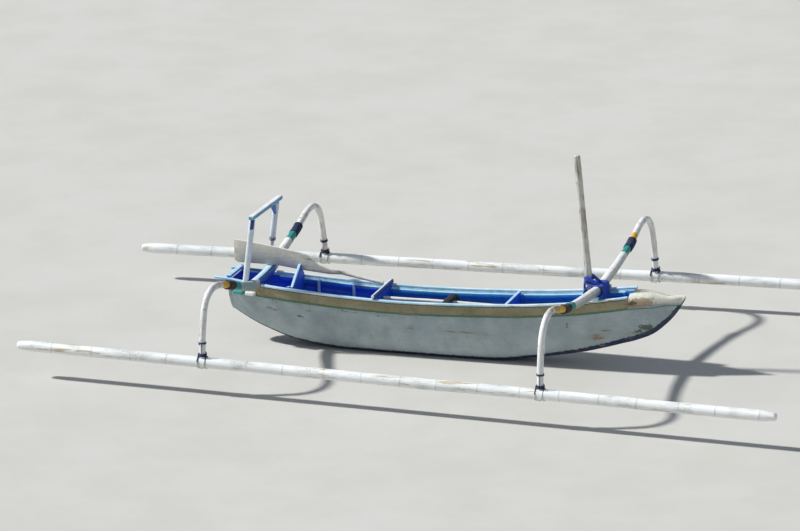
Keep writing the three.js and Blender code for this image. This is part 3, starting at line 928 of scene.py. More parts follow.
# Strong blue oil paint with a slight gloss, azure forward of the thwart
AZURE = Band("x", -0.70, 9.0, "#2b93e4", 0.02, 0.01)
INSIDE_PAINT = PaintedTimber(
    "oil_paint_blue_inside", "#2266ea", "#2f7af2", "#6f6a55", "#16305f",
    wear=0.08, soil=0.40, roughness=0.5, bands=(AZURE,),
)
# Pale tops and edges: painted highlights where the light falls on them
HIGHLIGHT_EDGE = Band("down", -0.01, 0.010, "#efece2", 0.003, 0.004)
HIGHLIGHT_TOP = Band("down", -0.01, 0.007, "#b5dcea", 0.002, 0.003)
# Strong blue oil paint, a little more worn, with a painted highlight on its top
RISER_PAINT = PaintedTimber(
    "oil_paint_blue_on_risers", "#2266ea", "#2f7af2", "#7a705a", "#173466",
    wear=0.12, soil=0.4, bands=(AZURE, HIGHLIGHT_TOP),
)
# Sky blue oil paint, bleached by the sun, with a painted highlight on its top
HORN_PAINT = PaintedTimber(
    "oil_paint_blue_on_horns", "#5f9fd8", "#7fb8e2", "#9c8666", "#27507c",
    wear=0.16, bands=(HIGHLIGHT_TOP,),
)
# Strong blue oil paint, its brush marks across the hull, with painted highlights on tops and on the ribs'
# inboard edges
CROSS_BLUE = PaintedTimber(
    "oil_paint_blue_across", "#1d58e0", "#2a6ae8", "#7a705a", "#173466",
    grain=Axis.ACROSS,
    bands=(HIGHLIGHT_TOP, Band("edge", 0.5, 2.0, "#c4e4f0", 0.1, 0.0)),
)
# White oil paint, sat on and scratched, with a blue front
CROSS_WHITE = PaintedTimber(
    "oil_paint_white_on_thwart", "#dfe7e8", "#f0f2ee", "#a08b69", "#7d8273",
    grain=Axis.ACROSS, wear=0.16, bands=(Band("fore", 0.5, 2.0, "#24428b", 0.1, 0.0),),
)
# The hull's paint outside, darkened to blue-grey as painted shade, strong blue inside
TRANSOM_PAINT = PaintedTimber(
    "oil_paint_white_on_transom", "#9aa8ac", "#adb9bb", "#8d7a62", "#77806f",
    grain=Axis.ACROSS, wear=0.12, soil=0.4, bands=(Band("fore", 0.5, 2.0, "#1440c8", 0.1, 0.0),),
)
# White oil paint, smooth from handling
SPAR_WHITE = PaintedTimber(
    "oil_paint_white_on_spar", "#e4ddd4", "#f0e9e2", "#a48f6e", "#85866f", wear=0.12, soil=0.3, roughness=0.45
)
# Grey-white oil paint, dulled by water, with pale upper edges that are painted highlights
BLADE_PAINT = PaintedTimber(
    "oil_paint_grey_white_on_rudder", "#cbc7b8", "#d4d0c2", "#94836a", "#85806e",
    grain_mm=12, bands=(HIGHLIGHT_EDGE,),
)
# Beige oil paint, worn thin
STOCK_PAINT = PaintedTimber(
    "oil_paint_beige_on_stock", "#e0d6c2", "#ece4d4", "#94836a", "#85806e", wear=0.14, soil=0.3
)
# Blue-white oil paint with upright streaks, and a dark blue stripe of painted shadow
POST_PAINT = PaintedTimber(
    "oil_paint_blue_white_on_posts", "#d3dee6", "#e2eaf0", "#a08b69", "#7f8a90",
    grain=Axis.UPRIGHT, wear=0.12, soil=0.3, bands=(Band("stripe", 0.5, 2.0, "#1b3f86", 0.15, 0.1),),
)
# Grey-blue oil paint with a white top and a deeper blue brace
CRUTCH_PAINT = PaintedTimber(
    "oil_paint_blue_on_crutch", "#5b9fc0", "#6fb0cc", "#9c8666", "#2b5270",
    grain=Axis.ACROSS, wear=0.14,
    bands=(Band("top", 0.5, 2.0, "#eceeea", 0.1, 0.0), Band("top", -2.0, -0.5, "#4a74bc", 0.1, 0.0)),
)
# Teal and white oil paint on small blocks, chipped at the edges
TEAL_PAINT = PaintedTimber("oil_paint_teal_on_pad", "#2f938c", "#43aaa2", "#7f775d", "#1f4f4c", wear=0.14)
PAD_PAINT = PaintedTimber("oil_paint_white_on_pad", "#e6e8e3", "#f3f3ee", "#9c8666", "#7c8072")
# A peeled trunk, silver-grey from sun and rain, with dark drying cracks
MAST_WOOD = BareTimber(
    "weathered_mast_timber", "#cfcabc", "#8f8674", "#dcdad2",
    Axis.UPRIGHT, weather=0.75, cracks=0.8, line_mm=9,
)
# Dark brown timber darkened nearly black as painted shade, with a pale aft edge that is a painted highlight
SHADED_DARK_BOARD = PaintedTimber(
    "dark_board_painted_shade", "#221b17", "#2b221c", "#4c3a2c", "#1c1713",
    grain=Axis.ACROSS, wear=0.2, soil=0.4, bands=(Band("down", -0.01, 0.007, "#8a7268", 0.003, 0.005),),
)
# Sawn softwood, honey-brown where it stays dry
SAWN_WOOD = BareTimber("sawn_board_timber", "#b58e5c", "#8a6438", "#a79c86", Axis.ACROSS, weather=0.35)
# Blue oil paint, trodden through to the wood
SOLE_WOOD = PaintedTimber(
    "oil_paint_blue_on_floor_boards", "#2b62b4", "#4d84c8", "#8a7d62", "#33405a", wear=0.24, soil=0.6
)
# White gloss paint on bamboo: bright, with grey rings and straw-coloured scrapes
BAMBOO = PaintedBamboo("gloss_paint_on_bamboo", "#f6f7f4", "#e6e9e6", "#6f7468", "#b79f6c")
# Laid polyester rope with a soft sheen; the navy one is painted over lower down, and its dark brown copy is
# painted shade
NAVY_ROPE = LaidRope("laid_rope_navy", "#1c2c5c", "#32477e", "#0b1124", "#e4e6e2")
GREY_ROPE = LaidRope("laid_rope_weathered", "#98a2a8", "#b6bdc0", "#4a5258")
SHADED_NAVY_ROPE = LaidRope("laid_rope_tarred", "#2b2622", "#463c33", "#100d0b")
BRIGHT_ROPE = LaidRope("laid_rope_bright_blue", "#1f56e6", "#4f8df6", "#0b1c5c")
# Wrought nails, rusted through and dull brown
IRON = BareTimber("rusted_iron_nails", "#5a3a28", "#33241c", "#6b4a35", Axis.UPRIGHT, weather=0.4, line_mm=3)


# Sub-assemblies


@dataclass
class Dugout:
    """The carved bottom and the solid bow, in one length of timber."""

    start: float = -2089.5
    bulkhead: float = 2179.5
    tip: float = 2735
    wall: float = 30
    sole: float = 45
    outer_points: int = 30
    inner_points: int = 40
    hollow_rings: int = 150
    bow_rings: int = 44
    rim: float = 14
    sink: float = 20
    bevel: Pair = (0.62, 92)
    carved: float = 1.6
    bevel_turns: np.ndarray = field(default_factory=lambda: np.linspace(0, math.pi / 2, 8))
    # patches of the bevel: place and reach along the hull, place and reach up the bevel
    bare_wood: tuple[float, float, float, float] = (2275, 185, 0.33, 0.42)
    # notch: bare wood darkened by the painted shade of a notch that is not carved
    notch: tuple[float, float, float, float] = (2228, 62, 0.42, 0.20)
    bottom_band: Triple = (600, 1500, 0.35)  # from, over, how much wider toward the bow
    # place, height, length, depth, share
    scuffs: tuple[tuple[float, float, float, float, float], ...] = (
        (2335, 462, 95, 46, 1.0), (2262, 418, 70, 30, 0.95), (1550, 467, 26, 22, 0.8),
        (-1590, 504, 52, 15, 0.85), (-1325, 357, 95, 17, 0.8), (-1170, 442, 150, 15, 0.78),
        (-470, 436, 26, 26, 0.8), (-820, 470, 60, 12, 0.7),
    )

    def deck(self, x: float, half: float) -> tuple[np.ndarray, np.ndarray]:
        """Draws the top of the bow from starboard to port.

        Args:
            x: the station.
            half: the half-breadth at the lower edge of the bevel.

        Returns:
            The points (y, z), and a mark that is 1 on the sunk deck.
        """
        top, low = HULL.sheer(x), self.low_edge(x)
        inset = min(half * self.bevel[0], self.bevel[1])
        rim = min(self.rim, (half - inset) * 0.4)
        sink = self.sink * min((self.tip - x) / 200, 1.0) + 3
        edge = half - inset
        turn = self.bevel_turns[1:]
        out, up = (inset - rim) * (1 - np.cos(turn)) - half, low + (top - 6 - low) * np.sin(turn)
        bevel = np.stack([out, up], axis=1)
        lip = np.array([[-edge, top], [-(edge - rim), top - 2], [-(edge - rim - 2), top - sink]])
        side = np.concatenate([bevel, lip])
        across = np.linspace(-(edge - rim - 2), edge - rim - 2, self.inner_points - 2 * len(side) + 2)[1:-1]
        floor = np.stack([across, np.full(len(across), top - sink)], axis=1)
        port = side[::-1] * HALF_TURN
        mark = np.concatenate([np.zeros(len(side) - 1), np.ones(len(across) + 2), np.zeros(len(side) - 1)])
        return np.concatenate([side, floor, port]), mark

    def low_edge(self, x: float) -> float:
        """Returns the height of the top of the carved sides."""
        return max(HULL.split(x), HULL.keel(x) + HULL.stem_depth)

    def scuffed(self, x: float, z: np.ndarray) -> np.ndarray:
        """Tells how worn the side is.

        Args:
            x: the station.
            z: heights there.

        Returns:
            The wear at each height, up to about 1.
        """
        worn = np.zeros(len(z))
        for at, level, long, high, share in self.scuffs:
            worn = np.maximum(worn, share * np.exp(-(((x - at) / long) ** 2) - ((z - level) / high) ** 2))
        return worn

    @staticmethod
    def patch(x: float, up: np.ndarray, spot: tuple[float, ...], power: int) -> np.ndarray:
        """Works out how strong one patch of the bevel is.

        Args:
            x: the station.
            up: shares of the bevel's height.
            spot: the patch's place and reach along the hull, then up the bevel.
            power: more for a patch with a sharper edge.

        Returns:
            Its strength at each share, up to 1.
        """
        along, reach, level, high = spot
        near = math.exp(-(((x - along) / reach) ** power))
        return np.exp(-(((up - level) / high) ** power)) * near * np.sign(up)

    def section_layers(self, x: float, z: np.ndarray, outside: np.ndarray, solid: bool) -> Layers:
        """Works out what the paint needs to know at the points of one section.

        Args:
            x: the station.
            z: the points' heights.
            outside: which points are on the carved outside.
            solid: whether the section is in the solid bow.

        Returns:
            Height above the keel and depth below the carved side's top in metres, the scuffs, the share
            of the bevel's height, and its bare wood and notch.
        """
        low = self.low_edge(x)
        start, over, wider = self.bottom_band
        band = 1 - wider * min(max((x - start) / over, 0.0), 1.0)
        up = np.clip((z - low) / max(HULL.sheer(x) - low, 1.0), 0, 1) * (~outside & solid)
        return {
            "above": np.where(outside, (z - HULL.keel(x)) * MM * band, 1.0),
            "below": np.where(outside, (low - z) * MM, 1.0),
            "scuff": self.scuffed(x, z) * outside,
            "bevel": up,
            "wood": self.patch(x, up, self.bare_wood, 4),
            "notch": self.patch(x, up, self.notch, 2),
        }

    def rings(self) -> tuple[np.ndarray, Layers]:
        """Draws the sections from the stern to the tip.

        Returns:
            The rings in metres and the layers at their points.
        """
        hollow = np.linspace(self.start, self.bulkhead, self.hollow_rings)
        bow = self.bulkhead + (self.tip - self.bulkhead) * np.linspace(0, 1, self.bow_rings) ** 0.85
        rings, layers = [], []
        for x, solid in [(float(v), False) for v in hollow] + [(float(v), True) for v in bow]:
            low = self.low_edge(x)
            outer = HULL.side_curve(x, low, 0, 0, self.outer_points)
            cut = self.carved * ripple(x + 2.1 * outer[:, 1], 5, 760) * np.clip(outer[:, 1] / 200, 0, 1)
            outer[1:-1, 0] += cut[1:-1]
            outline = np.concatenate([outer[::-1], outer * HALF_TURN])
            mark = np.zeros(self.inner_points)
            if solid:
                inner, mark = self.deck(x, float(outer[-1, 0]))
            else:
                half = HULL.side_curve(x, low, self.wall, self.sole, self.inner_points // 2)
                half[1:-1, 0] += 2.0 * ripple(x * 1.3 + half[1:-1, 1] * 3, 9, 420)
                inner = np.concatenate([half[::-1] * HALF_TURN, half])
            points = np.concatenate([outline, inner])
            rings.append(section_at(x, points))
            outside = np.arange(len(points)) < len(outline)
            layers.append(self.section_layers(x, points[:, 1], outside, solid))
            layers[-1]["deck"] = np.concatenate([np.zeros(len(outline)), mark])
        return np.array(rings), {name: np.array([ring[name] for ring in layers]) for name in layers[0]}

    def build(self) -> None:
        """Makes the dugout, painted blue inside and white outside, the white darkened to blue-grey as painted
        shade.
        """
        rings, layers = self.rings()
        shape = Shape().loft(rings, **layers)
        made = shape.piece("dugout_body", HULL_PAINT.build(), "hull_white", "dugout_hull", "bow_block")
        made.data.materials.append(INSIDE_PAINT.build())
        outside = 2 * self.outer_points
        count = outside + self.inner_points
        for polygon in made.data.polygons:
            in_hollow = min(polygon.vertices) < self.hollow_rings * count and polygon.loop_total == 4
            if in_hollow and all(v % count >= outside for v in polygon.vertices):
                polygon.material_index = 1


@dataclass
class Topsides:
    """The raised strakes with their nails, and the rails and horns on top of them."""

    start: float = -2089.5
    end: float = 2179.0
    thick: float = 22
    proud: float = 5
    rail_in: float = 22
    rail_out: float = 16
    horn_tips: Pair = (-2205, -2266)  # port, starboard
    boom_gap: float = 55
    chock_half: float = 64
    chock_high: float = 40
    nail_step: float = 165
    nail: float = 0.0042
    azure_from: float = -494

    def strake_rings(self) -> tuple[np.ndarray, Layers]:
        """Draws the port strake.

        Returns:
            The rings, and its layers: below its lower edge, below its top outside, and the same inside,
            with 1 added forward of the thwart.
        """
        rings, below, rim, inside = [], [], [], []
        for x in np.linspace(self.start, self.end, 170):
            low, high = HULL.split(x) + 0.5, HULL.strake_top(x) - 0.5
            rows = low + (high - low) * np.array([0, 0.03, 0.25, 0.5, 0.75, 0.97, 1.0])
            ease = np.array([3.0, 0.0, 0.0, 0.0, 0.0, 0.0, 3.0])
            wave = 1.2 * ripple(x + 0.8 * rows, 21, 900) * np.array([0, 0.5, 1, 1, 1, 0.5, 0])
            outer = HULL.breadth(x, rows) + self.proud - ease + wave
            inner = HULL.breadth(x, rows) - self.thick + ease * 0.6
            outline = np.concatenate([np.stack([outer, rows], 1), np.stack([inner, rows], 1)[::-1]])
            rings.append(section_at(x, outline))
            down = (low - rows) * MM
            below.append(np.concatenate([down, np.full(len(rows), -1.0)]))
            depth = (high - rows) * MM
            rim.append(np.concatenate([depth, np.ones(len(rows))]))
            inside.append(np.concatenate([np.full(len(rows), -1.0), depth[::-1] + (x > self.azure_from)]))
        inside[-1] = np.full_like(inside[-1], -1.0)  # the forward end is cream
        return np.array(rings), {"below": np.array(below), "rim": np.array(rim), "inner": np.array(inside)}

    def nail_places(self) -> tuple[np.ndarray, np.ndarray]:
        """Sets two rows of nails along the port strake.

        Returns:
            Their places and the directions out.
        """
        places, out = [], []
        for x in np.arange(self.start + 70, self.end, self.nail_step):
            for z in (HULL.split(x) + 22, HULL.strake_top(x) - 16):
                places.append([x, HULL.breadth(x, z) + self.proud, z])
                out.append([0.0, 1.0, -0.1])
        return placed(np.array(places)), np.array(out)

    def rail_rings(self, start: float, end: float, count: int, seed: int) -> np.ndarray:
        """Draws a length of the port rail with rounded edges.

        Args:
            start: its aft end.
            end: its fore end.
            count: how many sections to draw.
            seed: the seed of its unevenness.

        Returns:
            The rings in metres.
        """
        rings = []
        outline = boxed(self.rail_in + self.rail_out, HULL.rail_height, 6.5, 3)
        for x in np.linspace(start, end, count):
            level = max(x, HULL.stations[0][0])
            middle_y = HULL.half(x) + (self.rail_out - self.rail_in) / 2
            middle_z = HULL.sheer(level) - HULL.rail_height / 2
            worn = 1 + 0.05 * float(ripple(x, seed, 500))
            rings.append(section_at(x, outline * np.array([worn, 1.0]) + np.array([middle_y, middle_z])))
        first, last = rings[0], rings[-1]
        rings.insert(0, first.mean(0) + (first - first.mean(0)) * 0.8 - np.array([0.004, 0, 0]))
        rings.append(last.mean(0) + (last - last.mean(0)) * 0.8 + np.array([0.0004, 0, 0]))
        return np.array(rings)

    def chock_rings(self) -> np.ndarray:
        """Draws the port chock, hollowed to take the front boom.

        Returns:
            The rings in metres.
        """
        y, sheer = HULL.half(FRONT.x), HULL.sheer(FRONT.x)
        y0, y1, low = y - self.rail_in + 2, y + self.rail_out - 2, sheer - 8
        middle, deep = FRONT.section(y)
        rings = []
        for dx in np.linspace(-self.chock_half, self.chock_half, 33):
            across = min(abs(dx) / (FRONT.wide[0] / 2 + 1), 1.0)
            under = middle - (deep / 2 + 1.5) * (1 - across**2.6) ** (1 / 2.6)
            top = min(sheer + self.chock_high, under)
            outline = [[y0, low], [y1, low], [y1, top - 4], [y1 - 4, top], [y0 + 4, top], [y0, top - 4]]
            rings.append(section_at(FRONT.x + dx, np.array(outline)))
        return np.array(rings)

    def build(self, rear_x: float) -> None:
        """Makes both sides.

        Args:
            rear_x: where the rear boom crosses, in millimetres.
        """
        strake_paint, rail_paint = STRAKE_PAINT.build(), RAIL_PAINT.build()
        horn_paint, iron = HORN_PAINT.build(), IRON.build()
        rings, layers = self.strake_rings()
        places, out = self.nail_places()
        rail = self.rail_rings(rear_x + self.boom_gap, self.end, 130, 31)
        chock = self.chock_rings()
        for (name, side), tip in zip(SIDES, self.horn_tips):
            horn = self.rail_rings(tip, rear_x - self.boom_gap, 24, 33)
            strake = Shape().loft(rings * side, **layers)
            strake.piece(f"strake_planks_{name}", strake_paint, "cream", f"strake_{name}")
            nails = Shape().studs(places * side, out * side, self.nail)
            nails.piece(f"strake_nails_{name}", iron, "bare_wood")
            rail_with_chock = Shape().loft(rail * side).loft(chock * side)
            rail_with_chock.piece(f"rail_with_chock_{name}", rail_paint, "rail_blue", f"gunwale_rail_{name}")
            horn_end = Shape().loft(horn * side, down=below_top(horn))
            horn_end.piece(f"horn_{name}", horn_paint, "rail_blue", f"stern_horn_{name}")


@dataclass
class Inside:
    """What is fitted inside the hull: risers, ribs, boards, the saddle, the thwart and the floor boards."""

    riser: Triple = (30, 46, 62)  # thickness, height, depth below the strake's top
    riser_ends: Pair = (-1690, 2060)
    ribs: tuple[tuple[str, float], ...] = (("rib_quarter", -1262), ("rib_middle", -882))
    rib_half: float = 18
    rib_depth: float = 38
    saddle: Pair = (-1440, 14)  # place, half thickness
    crest: tuple[Pair, ...] = (
        (-232, 668), (-190, 662), (-160, 640), (-120, 634), (-20, 706), (66, 757), (124, 799), (147, 797),
        (149, 726), (182, 724), (216, 690),
    )
    # node, place, thickness, lowest point, depth of the top below the sheer, slot
    boards: tuple[tuple[str, float, float, float, float, str], ...] = (
        ("board_aft", -494, 26, 450, 0, "inside_blue"),
        ("board_fore", 910, 30, 520, 4, "rail_blue"),
    )
    sloped: Triple = (255, 60, 440)  # place, thickness, lowest point
    sloped_crest: tuple[Pair, ...] = ((70, 622), (236, 462))
    thwart: tuple[float, float, float, float] = (-494, 38, 40, 20)  # place, width, depth, overhang
    sole_ends: Pair = (-1172, 1000)
    sole_half: float = 108
    sole: Pair = (106, 119)
    pole: Triple = (-40, 560, 19)  # y, z, radius
    pole_ends: Pair = (-470, 905)

    def riser_rings(self) -> np.ndarray:
        """Draws the port riser.

        Returns:
            The rings in metres.
        """
        thick, high, below = self.riser
        rings = []
        for x in np.linspace(*self.riser_ends, 90):
            low = HULL.strake_top(x) - below
            out = HULL.breadth(x, low) - 23.5
            outline = boxed(thick, high, 5, 2) + np.array([out - thick / 2, low + high / 2])
            rings.append(section_at(x, outline))
        return np.array(rings)

    def cross_board(self, outline: np.ndarray, x: float, thick: float, edge: float) -> Shape:
        """Makes a board across the hull whose layer tells how far each point is below its top edge.

        Args:
            outline: its outline (y, z) in millimetres.
            x: the place of its middle.
            thick: its thickness in millimetres.
            edge: how far its edges are eased, in metres.

        Returns:
            The board's shape.
        """
        board = Shape().slab(outline * MM, Axis.ALONG, *faces_at(x, thick), edge)
        points = board.points[0]
        reach = np.abs(points[:, 1:2] - points[None, :, 1]) < 0.02
        top = np.where(reach, points[None, :, 2], -1.0).max(axis=1)
        board.layers["down"] = [top - points[:, 2]]
        return board

    def board_outline(self, x: float, low: float, high: float, inset: float) -> np.ndarray:
        """Draws a board that fills the hull between two heights.

        Args:
            x: the station.
            low: the lower height.
            high: the upper height.
            inset: the gap at its sides.

        Returns:
            The points (y, z).
        """
        z = np.linspace(low, high, 14)
        y = np.minimum(HULL.breadth(x, z, 30, 45), HULL.half(x) - 22.0) - inset
        port = np.stack([y, z], axis=1)
        return np.concatenate([port, port[::-1] * HALF_TURN])

    def saddle_outline(self) -> np.ndarray:
        """Draws the saddle bulkhead that the rudder lies in, with a horn inboard of the blade.

        Returns:
            The points (y, z).
        """
        x = self.saddle[0]
        top = HULL.strake_top(x) - 1
        side = HULL.side_curve(x, top, 30, 45, 18)
        corner = np.array([[HULL.half(x) - 25, top + 9]])
        crest = np.array(self.crest)[::-1]
        return np.concatenate([side, corner, crest, corner * HALF_TURN, side[::-1] * HALF_TURN])

    def build_ribs(self, paint: bpy.types.Material) -> None:
        """Makes the ribs, with a painted highlight on their inboard edges.

        Args:
            paint: their paint.
        """
        for name, x in self.ribs:
            top = HULL.strake_top(x) - 14
            outer = HULL.side_curve(x, top, 29, 44, 22)
            inner = HULL.side_curve(x, top, 30 + self.rib_depth, 65 + self.rib_depth, 22)
            outline = np.concatenate([outer[::-1], outer * HALF_TURN, inner[::-1] * HALF_TURN, inner])
            rib = Shape().slab(outline * MM, Axis.ALONG, *faces_at(x, 2 * self.rib_half), 0.004)
            # the inboard edges get a pale painted highlight
            edge = np.zeros((6, len(outline)))
            edge[2:4, 2 * len(outer) :] = 1
            rib.layers = {"edge": [edge.reshape(-1)], "down": [np.ones(edge.size)]}
            rib.piece(f"{name}_timber", paint, "inside_blue", name)

    def build_boards(self, paint: bpy.types.Material) -> None:
        """Makes the saddle and the boards across the hull.

        Args:
            paint: the paint of all but the dark one.
        """
        x, half = self.saddle
        saddle = self.cross_board(self.saddle_outline(), x, 2 * half, 0.004)
        saddle.piece("saddle_board", paint, "inside_blue", "saddle_bulkhead")
        for name, x, thick, bottom, below, slot in self.boards:
            outline = self.board_outline(x, bottom, HULL.sheer(x) - below, 1.0)
            board = self.cross_board(outline, x, thick, 0.003)
            if below == 0:  # the thwart hides its top
                board.layers["down"] = [np.ones(board.count)]
            board.piece(f"{name}_plank", paint, slot, name)
        x, thick, bottom = self.sloped
        reach = HULL.half(x) - 23
        corners = [(-reach, bottom), (-reach, HULL.sheer(x)), *self.sloped_crest, (reach, bottom)]
        board = self.cross_board(even(np.array([*corners, corners[0]]), 60)[:-1], x, thick, 0.003)
        aft = board.points[0][:, 0] < faces_at(x, thick)[0] + 0.012  # only the aft edge gets the pale painted highlight
        board.layers["down"] = [np.where(aft, board.layers["down"][0], 1.0)]
        board.piece("board_middle_plank", SHADED_DARK_BOARD.build(), "bare_wood", "board_middle")

    def build_thwart(self) -> None:
        """Makes the thwart across the rails."""
        x, wide, deep, over = self.thwart
        z = HULL.sheer(x) + 1 + deep / 2
        reach = HULL.half(x) + over
        rings = beam(((x, -reach, z), (x, reach, z)), (wide, deep, 7), 5, 30)
        fore = np.where(rings[..., 0] > (x + ORIGIN_X_MM + 0.30 * wide) * MM, 1.0, 0.0)
        thwart = Shape().loft(rings, fore=fore)
        thwart.piece("thwart_plank", CROSS_WHITE.build(), "timber_white", "thwart_aft")

    def build_sole(self) -> None:
        """Makes the floor boards, three planks side by side."""
        shape = Shape()
        wide, deep = (2 * self.sole_half - 12) / 3, self.sole[1] - self.sole[0]
        z = sum(self.sole) / 2
        for k, (start, end) in enumerate(((0, -25), (12, 0), (0, -12))):
            y = (k - 1) * (wide + 6)
            ends = ((self.sole_ends[0] + start, y, z), (self.sole_ends[1] + end, y, z))
            shape.loft(beam(ends, (wide, deep, 3), 3, 40, (0, 1, 0)))
        shape.piece("floor_planks", SOLE_WOOD.build(), "inside_blue", "floor_boards")

    def build_pole(self) -> None:
        """Makes the pole that is stowed under the thwart."""
        y, z, radius = self.pole
        line = curve_through([[self.pole_ends[0], y, z], [217, y, z + 6], [self.pole_ends[1], y, z]], 60)
        size = 1 + 0.05 * ripple(np.linspace(0, 1, 60), 44, 0.5)
        pole = swept(placed(line), oval(20) * radius * MM, (0, 1, 0), size, 0.004)
        Shape().loft(pole).piece("stowed_pole_timber", SPAR_WHITE.build(), "timber_white", "stowed_pole")

    def build(self) -> None:
        """Makes the fittings."""
        riser_paint, across_blue = RISER_PAINT.build(), CROSS_BLUE.build()
        rings = self.riser_rings()
        for name, side in SIDES:
            riser = Shape().loft(rings * side, down=below_top(rings))
            riser.piece(f"riser_batten_{name}", riser_paint, "rail_blue", f"riser_{name}")
        self.build_ribs(across_blue)
        self.build_boards(across_blue)
        self.build_thwart()
        self.build_sole()
        self.build_pole()


@dataclass
class Stern:
    """The transom, the bar across the horns and the pads outside the rear boom."""

    transom: Pair = (-2105, 30)  # place, thickness
    bar_x: float = -2103
    bar_wide: float = 50
    bar_deep: float = 25.5
    bar_half: float = 184
    pads: tuple[tuple[str, float, float], ...] = (("pad_aft", -2045, -1930), ("pad_fore", -1900, -1790))
    pad_z: Pair = (556, 594)
    pad_out: float = 51

    def build(self) -> None:
        """Makes the stern's pieces."""
        x, thick = self.transom
        side = HULL.side_curve(x, HULL.strake_top(x) - 2, -2, 0, 26)
        outline = np.concatenate([side[::-1], side * HALF_TURN]) * MM
        low, high = faces_at(x, thick)
        transom = Shape().slab(outline, Axis.ALONG, low, high, 0.004)
        transom.layers["fore"] = [np.where(transom.points[0][:, 0] > high - 0.0021, 1.0, 0.0)]
        transom.piece("transom_planks", TRANSOM_PAINT.build(), "inside_blue", "transom_board")
        z = HULL.sheer(x - thick / 2) + 0.5 + self.bar_deep / 2
        ends = ((self.bar_x, -self.bar_half, z), (self.bar_x, self.bar_half, z))
        rings = beam(ends, (self.bar_wide, self.bar_deep, 6), 4, 20)
        bar = Shape().loft(rings, down=below_top(rings))
        bar.piece("stern_bar", CROSS_BLUE.build(), "rail_blue", "stern_crossbar")
        paints = {"pad_aft": (TEAL_PAINT, "teal"), "pad_fore": (PAD_PAINT, "timber_white")}
        for name, start, end in self.pads:
            rings = []
            for x in np.linspace(start, end, 12):
                middle_z = sum(self.pad_z) / 2
                at = HULL.breadth(x, middle_z) + 6
                outline = boxed(self.pad_out, self.pad_z[1] - self.pad_z[0], 9, 3)
                rings.append(section_at(x, outline + np.array([at + self.pad_out / 2, middle_z])))
            for k in (0, -1):
                rings[k] = rings[k].mean(0) + (rings[k] - rings[k].mean(0)) * 0.82
            paint, slot = paints[name]
            Shape().loft(flipped(np.array(rings))).piece(f"{name}_block", paint.build(), slot, name)


FLOAT_Z = 335.0
FLOAT_RADIUS = 55.0
FLOAT_ENDS = (-3840.0, 4250.0)
BUTT = 4.0  # between a boom's end and its elbow


@dataclass(frozen=True)
class BoomLines:
    """The lines of one boom and its two elbows, in millimetres."""

    name: str
    x: float
    foot: float  # where the elbows stand on the floats, off the middle plane
    wide: Pair  # in the middle, at the ends
    deep: Pair
    path: tuple[Pair, ...]  # from the starboard joint to the port one
    elbow: tuple[Pair, ...]  # from the joint

    @property
    def middle(self) -> float:
        """Returns the height of the boom over the middle plane."""
        return dict(self.path)[0]

    def boom(self, count: int) -> np.ndarray:
        """Returns the boom's centreline from starboard to port, in metres."""
        return placed(curve_through([(self.x, y, z) for y, z in self.path], count))

    def section(self, y: float) -> Pair:
        """Finds the boom's section.

        Args:
            y: the distance off the middle plane.

        Returns:
            The height of its middle, and its depth.
        """
        line = self.boom(400)[:, 1:] / MM
        swell = math.cos(y / self.path[-1][0] * math.pi / 2) ** 1.2
        deep = self.deep[1] + (self.deep[0] - self.deep[1]) * swell
        return float(np.interp(y, line[:, 0], line[:, 1])), deep

    def bend(self, count: int) -> np.ndarray:
        """Draws the port elbow's centreline from the joint to the middle of the float.

        Args:
            count: how many points to return.

        Returns:
            The points in metres.
        """
        y0, z0 = self.path[-1]
        points = [(self.x, y0 + BUTT + y, z0 + z) for y, z in self.elbow]
        return placed(curve_through([*points, (self.x, self.foot, FLOAT_Z)], count))


REAR = BoomLines(
    "rear", -1785, 1770, (96, 72), (106, 74),
    ((-948, 892), (-560, 752), (-400, 706), (-250, 690), (0, 692), (250, 718), (560, 806), (948, 892)),
    ((0, 0), (190, 62), (360, 106), (500, 108), (625, 62), (708, -30), (762, -180), (800, -350)),
)
FRONT = BoomLines(
    "front", 1826, 1930, (86, 70), (92, 72),
    ((-1075, 940), (-620, 869), (-250, 830), (0, 808), (250, 830), (620, 869), (1075, 940)),
    ((0, 0), (190, 62), (370, 114), (520, 118), (650, 66), (735, -30), (792, -190), (830, -370)),
)


def float_y(x_mm: Places) -> Places:
    """Returns how far a float's middle lies off the middle plane: they toe out towards the bow."""
    return REAR.foot + (x_mm - REAR.x) * (FRONT.foot - REAR.foot) / (FRONT.x - REAR.x)


